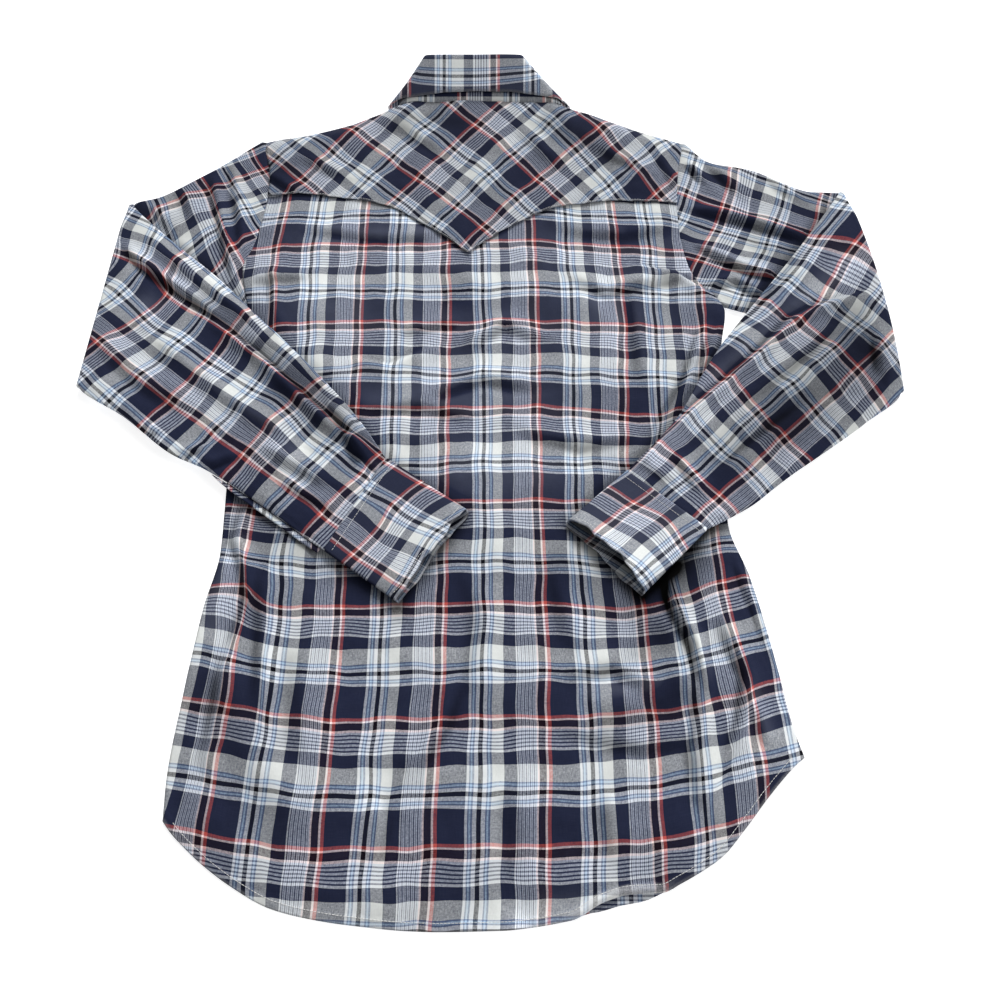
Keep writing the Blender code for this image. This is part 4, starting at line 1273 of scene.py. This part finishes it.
def fore_points(table, table_folds, place, ring, side):
    share, level, out = ring
    x0, y0, x1, y1, bulge = sleeve_edges(table, place)
    start = sleeve_edges(table, 1.0)
    fold_x, _ = fold_line(table, share, side)
    x = mix(x0, x1, share) + side * bulge * bow(share) * (place - 1)
    x = x + (fold_x - mix(start[0], start[2], share)) * (2 - place) ** 3
    y = mix(y0, y1, share) - out - SLIP
    soft = folds(table_folds, x, y) + ripples(FORE_WAVES, x, y) + FULLNESS
    soft = np.where(level == 0.0, free(share, place, FORE_FREE) * soft, 0.0)
    z = FORE_Z + TUBE * (1 - level) + lift(x, y) * step(1.0, 1.12, place) + soft
    return stacked(x, y, pinched(z, share, place))


def build_sleeve(name, table, side_at, side, both_folds, both_checks, both_tones):
    """One sleeve's rows run down its upper arm, round its fold and along its forearm."""
    ring = sleeve_ring(72, 6)
    share, level, _ = ring
    places = spread(0.0, 48, 0.9, 5, 1.0)[:, None]
    arm = arm_points(table, side_at, both_folds[0], places, ring, side)
    hidden = arm[:1].copy()
    hidden[..., 0] -= side * (ARM_GAP + TUCK[0]) * level
    hidden[..., 2] -= TUCK[1] * level
    turned = np.linspace(0.0, math.pi, 9)[1:-1, None]
    bend = bend_points(table, turned, ring, side)
    fore = fore_points(table, both_folds[1], spread(1.0, 124, 2.0)[:, None], ring, side)
    inner = fore[-1:].copy()
    inner[..., 2] = mix(inner[..., 2].mean(), inner[..., 2], 0.62)
    inner[..., 0] -= side * TUCK[0] * 0.8
    inner[..., 1] -= TUCK[0] * 0.6
    points = np.concatenate([hidden, arm, bend, fore, inner])

    x, y = points[..., 0], points[..., 1]
    on_arm = np.arange(len(points)) <= len(arm)
    arm_x, arm_y = x[on_arm], y[on_arm]
    after_arm = 1 + len(arm)
    fold_x, _ = fold_line(table, share, side)
    unrolled = x.copy()
    unrolled[on_arm] = 2 * fold_x - arm_x + side * math.pi * BEND_R
    unrolled[after_arm : after_arm + len(bend)] = fold_x + side * BEND_R * (math.pi - turned)
    lower = check_map(both_checks[1], both_folds[1])(unrolled, y)
    upper = lower.copy()
    upper[on_arm] = check_map(both_checks[0], both_folds[0])(arm_x, arm_y)
    top = (level + np.roll(level, -1)) / 2 > 0.5

    shade = creases(both_folds[1], x, y) + tones(both_tones[1], x, y)
    arm_shade = creases(both_folds[0], arm_x, arm_y) + tones(both_tones[0], arm_x, arm_y)
    shade[on_arm] = np.maximum(ARM_SHADE + arm_shade, arm_cast(arm_x, arm_y, *ARM_CAST))
    shade = shade * np.where(on_arm[:, None], level == 1.0, level == 0.0)
    sheet(name, points, upper, None, shade, lower, top)


def cuff_points(table, mouth, along, ring):
    share, level, out = ring
    (mx0, my0), (mx1, my1), back, reach, gape, _ = mouth
    x0, y0, x1, y1, _ = (float(value) for value in sleeve_edges(table, 2.0))
    away = np.array([mx0 + mx1 - x0 - x1, my0 + my1 - y0 - y1]) / 2
    away_x, away_y = away / np.hypot(*away)
    under = reach + uneven(UNDER_LIP, share)
    over = back * bow(share) ** 0.8 + uneven(UPPER_LIP, share)
    past = CUFF_GAP * (1 - along) + along**4 * (level * under - (1 - level) * over)
    x = mix(mix(x0, x1, share), mix(mx0, mx1, share), along) + away_x * past
    y = mix(mix(y0, y1, share), mix(my0, my1, share), along) + away_y * past
    y = y - out - SLIP * (1 - along)
    height = TUBE + 0.6 + gape * along**2 * bow(share) ** 0.5
    height = height + along**3 * (uneven(LIP_RISE, share) + 0.4)
    return stacked(x, y, FORE_Z + lift(x, y) - 0.1 + height * (1 - level))


def build_cuff(name, table, mouth, crossings):
    ring = sleeve_ring(30, 6)
    level = ring[1]
    along = spread(0.0, 34, 1.0)[:, None]
    points = cuff_points(table, mouth, along, ring)
    check = check_map(crossings)(points[..., 0], points[..., 1])
    deep = CUFF_DEEP * (1 - CUFF_LIP * step(0.9, 1.0, along))
    shade = mix(mouth[-1], deep, step(0.1, 0.6, level))
    worn, top = step(0.985, 1.0, along), np.ones(level.size, bool)
    sheet(name, points, check, worn, shade, check, top, CUFF_WALL)


def build_binding():
    places = spread(BINDING[0][0], 40, BINDING[-1][0])[:, None]
    edge = fore_points(LEFT_SLEEVE, (), places, (1.0, 0.5, TUBE / 2), -1)
    past = np.maximum(curve(BINDING, places, 1), 0.6)
    reach = 0.9 + past * np.linspace(0.0, 1.0, 4)
    x, y = edge[..., 0] - 0.56 * reach, edge[..., 1] - 0.83 * reach
    z = edge[..., 2] + curve(BINDING, places, 2)
    sheet("slit_binding_cloth", stacked(x, y, z), plain_map(x, y))


# ---------------------------------------------------------------- stitches and snaps


def stitch_tree():
    """Stitches of one length, in step along every line of the mesh that comes in."""
    tree = bpy.data.node_groups.new("row_of_stitches", "GeometryNodeTree")
    for label, in_out, kind in (
        ("Geometry", "INPUT", "Geometry"), ("Stitch", "INPUT", "Float"), ("Gap", "INPUT", "Float"),
        ("Thread", "INPUT", "Float"), ("Seed", "INPUT", "Int"), ("Finish", "INPUT", "Material"),
        ("Geometry", "OUTPUT", "Geometry"),
    ):
        tree.interface.new_socket(label, in_out=in_out, socket_type="NodeSocket" + kind)
    given = tree.nodes.new("NodeGroupInput").outputs

    def grow(kind, values, out=0, **settings):
        return add_node(tree, kind, settings, values).outputs[out]

    line = grow("GeometryNodeMeshToCurve", {0: given["Geometry"]})
    pace = grow("ShaderNodeMath", {0: given["Stitch"], 1: given["Gap"]}, operation="ADD")
    paced = grow("GeometryNodeResampleCurve", {"Curve": line, "Length": pace}, mode="LENGTH")
    size = {"Radius": given["Thread"], "Depth": given["Stitch"]}
    stitch = grow(
        "GeometryNodeMeshCylinder", {"Vertices": 6, "Side Segments": 1, **size},
        fill_type="TRIANGLE_FAN",
    )
    tangent = grow("GeometryNodeInputTangent", {})
    turn = grow("FunctionNodeAlignRotationToVector", {"Vector": tangent}, axis="Z")
    uneven_size = grow(
        "FunctionNodeRandomValue", {2: 0.82, 3: 1.12, "Seed": given["Seed"]}, out=1,
        data_type="FLOAT",
    )
    placed = grow(
        "GeometryNodeInstanceOnPoints",
        {"Points": paced, "Instance": stitch, "Rotation": turn, "Scale": uneven_size},
    )
    real = grow("GeometryNodeRealizeInstances", {0: placed})
    dyed = grow("GeometryNodeSetMaterial", {"Geometry": real, "Material": given["Finish"]})
    tree.links.new(dyed, tree.nodes.new("NodeGroupOutput").inputs[0])
    return tree


def stitched(name, lines, values):
    """The plain mesh of stitches along open lines of points in millimetres."""
    points, edges = [], []
    for line in lines:
        start = len(points)
        points += [tuple(p * MM) for p in line]
        edges += [(start + k, start + k + 1) for k in range(len(line) - 1)]
    base = bpy.data.meshes.new("stitch_lines")
    base.from_pydata(points, edges, [])
    source = new_object("stitch_source", base)
    modifier = source.modifiers.new("grow", "NODES")
    modifier.node_group = stitch_tree()
    for item in modifier.node_group.interface.items_tree:
        if item.in_out == "INPUT" and item.name in values:
            modifier[item.identifier] = values[item.name]
    source.update_tag()
    graph = bpy.context.evaluated_depsgraph_get()
    mesh = bpy.data.meshes.new_from_object(source.evaluated_get(graph))
    bpy.data.objects.remove(source)
    mesh.name = name
    mesh.polygons.foreach_set("use_smooth", np.ones(len(mesh.polygons), bool))
    return new_object(name, mesh)


def on_top(x, y, height):
    return stacked(x, y, height(x, y) + SHIRTING / 2 + THREAD_LIFT)


def hem_line(inside):
    """A line this far inside the back's hem."""
    x = np.linspace(-240, 234, 400)
    y = hem(x)
    way = unit(np.stack([np.gradient(x), np.gradient(y)], axis=-1))
    return x - way[:, 1] * inside, y + way[:, 0] * inside


def yoke_line(inside):
    """A line this far inside the yoke's edge, between the two armholes."""
    x = np.linspace(-236, 195, 300)
    y = yoke_edge(x) + inside
    keep = (x > body_left(y) + 3) & (x < body_right(y) - 3)
    return x[keep], y[keep]


def cuff_line(table, mouth, at):
    """A line round the top of a cuff, this share of the way to its open end."""
    share = np.linspace(0.03, 0.97, 60)[None, :]
    line = cuff_points(table, mouth, at, (share, 0 * share, 0.0))[0]
    line[:, 2] += CUFF_WALL / 2 + THREAD_LIFT
    return line


def build_stitches():
    lines = [
        on_top(*hem_line(HEM_WIDTH - 0.9), back_top),
        on_top(*yoke_line(1.7), yoke_height),
    ]
    for table, mouth in ((LEFT_SLEEVE, LEFT_CUFF), (RIGHT_SLEEVE, RIGHT_CUFF)):
        lines += [cuff_line(table, mouth, at) for at in CUFF_ROWS]
    made = stitched("stitching", lines, {**STITCH, "Finish": FINISHES["thread"]})
    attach(made, "root")


PEARL_PROFILE = (  # radius, height over the cap's lowest point
    (0, 0.0), (1.2, 0.02), (2.4, 0.10), (3.4, 0.24), (4.2, 0.45), (4.6, 0.66), (4.6, 0.9), (0, 0.9),
)
RING_PROFILE = (  # radius, height
    (0, 0.72), (4.5, 0.72), (4.75, 0.42), (5.1, 0.40), (5.45, 0.55), (5.6, 0.85), (5.5, 1.15),
    (5.2, 1.5), (0, 1.5),
)


def turned_shapes(name, profile, places, finish):
    """One mesh with a profile turned on a lathe, and closed on its axis, at each place."""
    angles = np.linspace(0.0, 2 * math.pi, SNAP_SIDES, endpoint=False)
    shape = [(0.0, 0.0, profile[0][1])]
    for radius, height in profile[1:-1]:
        shape += [(radius * math.cos(a), radius * math.sin(a), height) for a in angles]
    shape.append((0.0, 0.0, profile[-1][1]))
    last = 1 + (len(profile) - 3) * SNAP_SIDES
    faces = []
    for k in range(SNAP_SIDES):
        after = (k + 1) % SNAP_SIDES
        faces.append((0, 1 + after, 1 + k))
        for a in range(1, last, SNAP_SIDES):
            faces.append((a + k, a + after, a + SNAP_SIDES + after, a + SNAP_SIDES + k))
        faces.append((last + k, last + after, len(shape) - 1))
    points = (np.array(places)[:, None] + np.array(shape)).reshape(-1, 3)
    starts = range(0, len(points), len(shape))
    faces = [[start + k for k in face] for start in starts for face in faces]
    return smooth_piece(name, points, faces, finish)


def build_snaps():
    places = [(CENTRE_X, y, 0.0) for y in SNAPS_Y] + [SNAP_NECK]
    names = [f"snap_{number}" for number in range(1, len(SNAPS_Y) + 1)] + ["snap_neck"]
    for name, profile, finish in (
        ("snap_pearls", PEARL_PROFILE, "pearl"), ("snap_rings", RING_PROFILE, "metal"),
    ):
        made = turned_shapes(name, profile, places, finish)
        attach(made, "root")
        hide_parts(*names)


# ---------------------------------------------------------------- studio


def build_studio():
    """A plain white table, even light from all round, two soft lamps and the camera."""
    mesh = bpy.data.meshes.new("table_top")
    corners = [(x * TABLE_HALF, y * TABLE_HALF, 0) for x, y in ((-1, -1), (1, -1), (1, 1), (-1, 1))]
    mesh.from_pydata(corners, [], [(0, 1, 2, 3)])
    mesh.materials.append(FINISHES["floor"])
    new_object("table_top", mesh)
    scene = bpy.context.scene
    scene.world = bpy.data.worlds.new("studio")
    scene.world.use_nodes = True
    sky = scene.world.node_tree.nodes["Background"]
    sky.inputs["Color"].default_value = (1.0, 1.0, 1.0, 1.0)
    sky.inputs["Strength"].default_value = SKY_LIGHT
    for name, strength, softness, height, bearing in LAMPS:
        lamp = bpy.data.lights.new(name, "SUN")
        lamp.energy = strength
        lamp.angle = math.radians(softness)
        tilt, turn = math.radians(90 - height), math.radians(bearing) + math.pi / 2
        new_object(name, lamp).rotation_euler = Euler((tilt, 0.0, turn))
    data = bpy.data.cameras.new("camera")
    data.lens = CAMERA_LENS
    scene.camera = new_object("camera", data)
    scene.camera.location = CAMERA
    scene.camera.rotation_euler = (math.radians(CAMERA_TILT), 0.0, 0.0)
    scene.view_settings.view_transform = "Standard"


build_studio()
build_back()
build_yoke()
build_fronts()
build_band()
build_stand()
build_leaf()
build_sleeve(
    "sleeve_cloth_left", LEFT_SLEEVE, body_left, -1, (LEFT_ARM_FOLDS, LEFT_FOLDS),
    (LEFT_ARM_CHECK, LEFT_FORE_CHECK), (LEFT_ARM_TONES, LEFT_TONES),
)
build_sleeve(
    "sleeve_cloth_right", RIGHT_SLEEVE, body_right, 1, (RIGHT_ARM_FOLDS, RIGHT_FOLDS),
    (RIGHT_ARM_CHECK, RIGHT_FORE_CHECK), (RIGHT_ARM_TONES, RIGHT_TONES),
)
build_cuff("cuff_cloth_left", LEFT_SLEEVE, LEFT_CUFF, LEFT_CUFF_CHECK)
build_cuff("cuff_cloth_right", RIGHT_SLEEVE, RIGHT_CUFF, RIGHT_CUFF_CHECK)
build_binding()
build_stitches()
build_snaps()
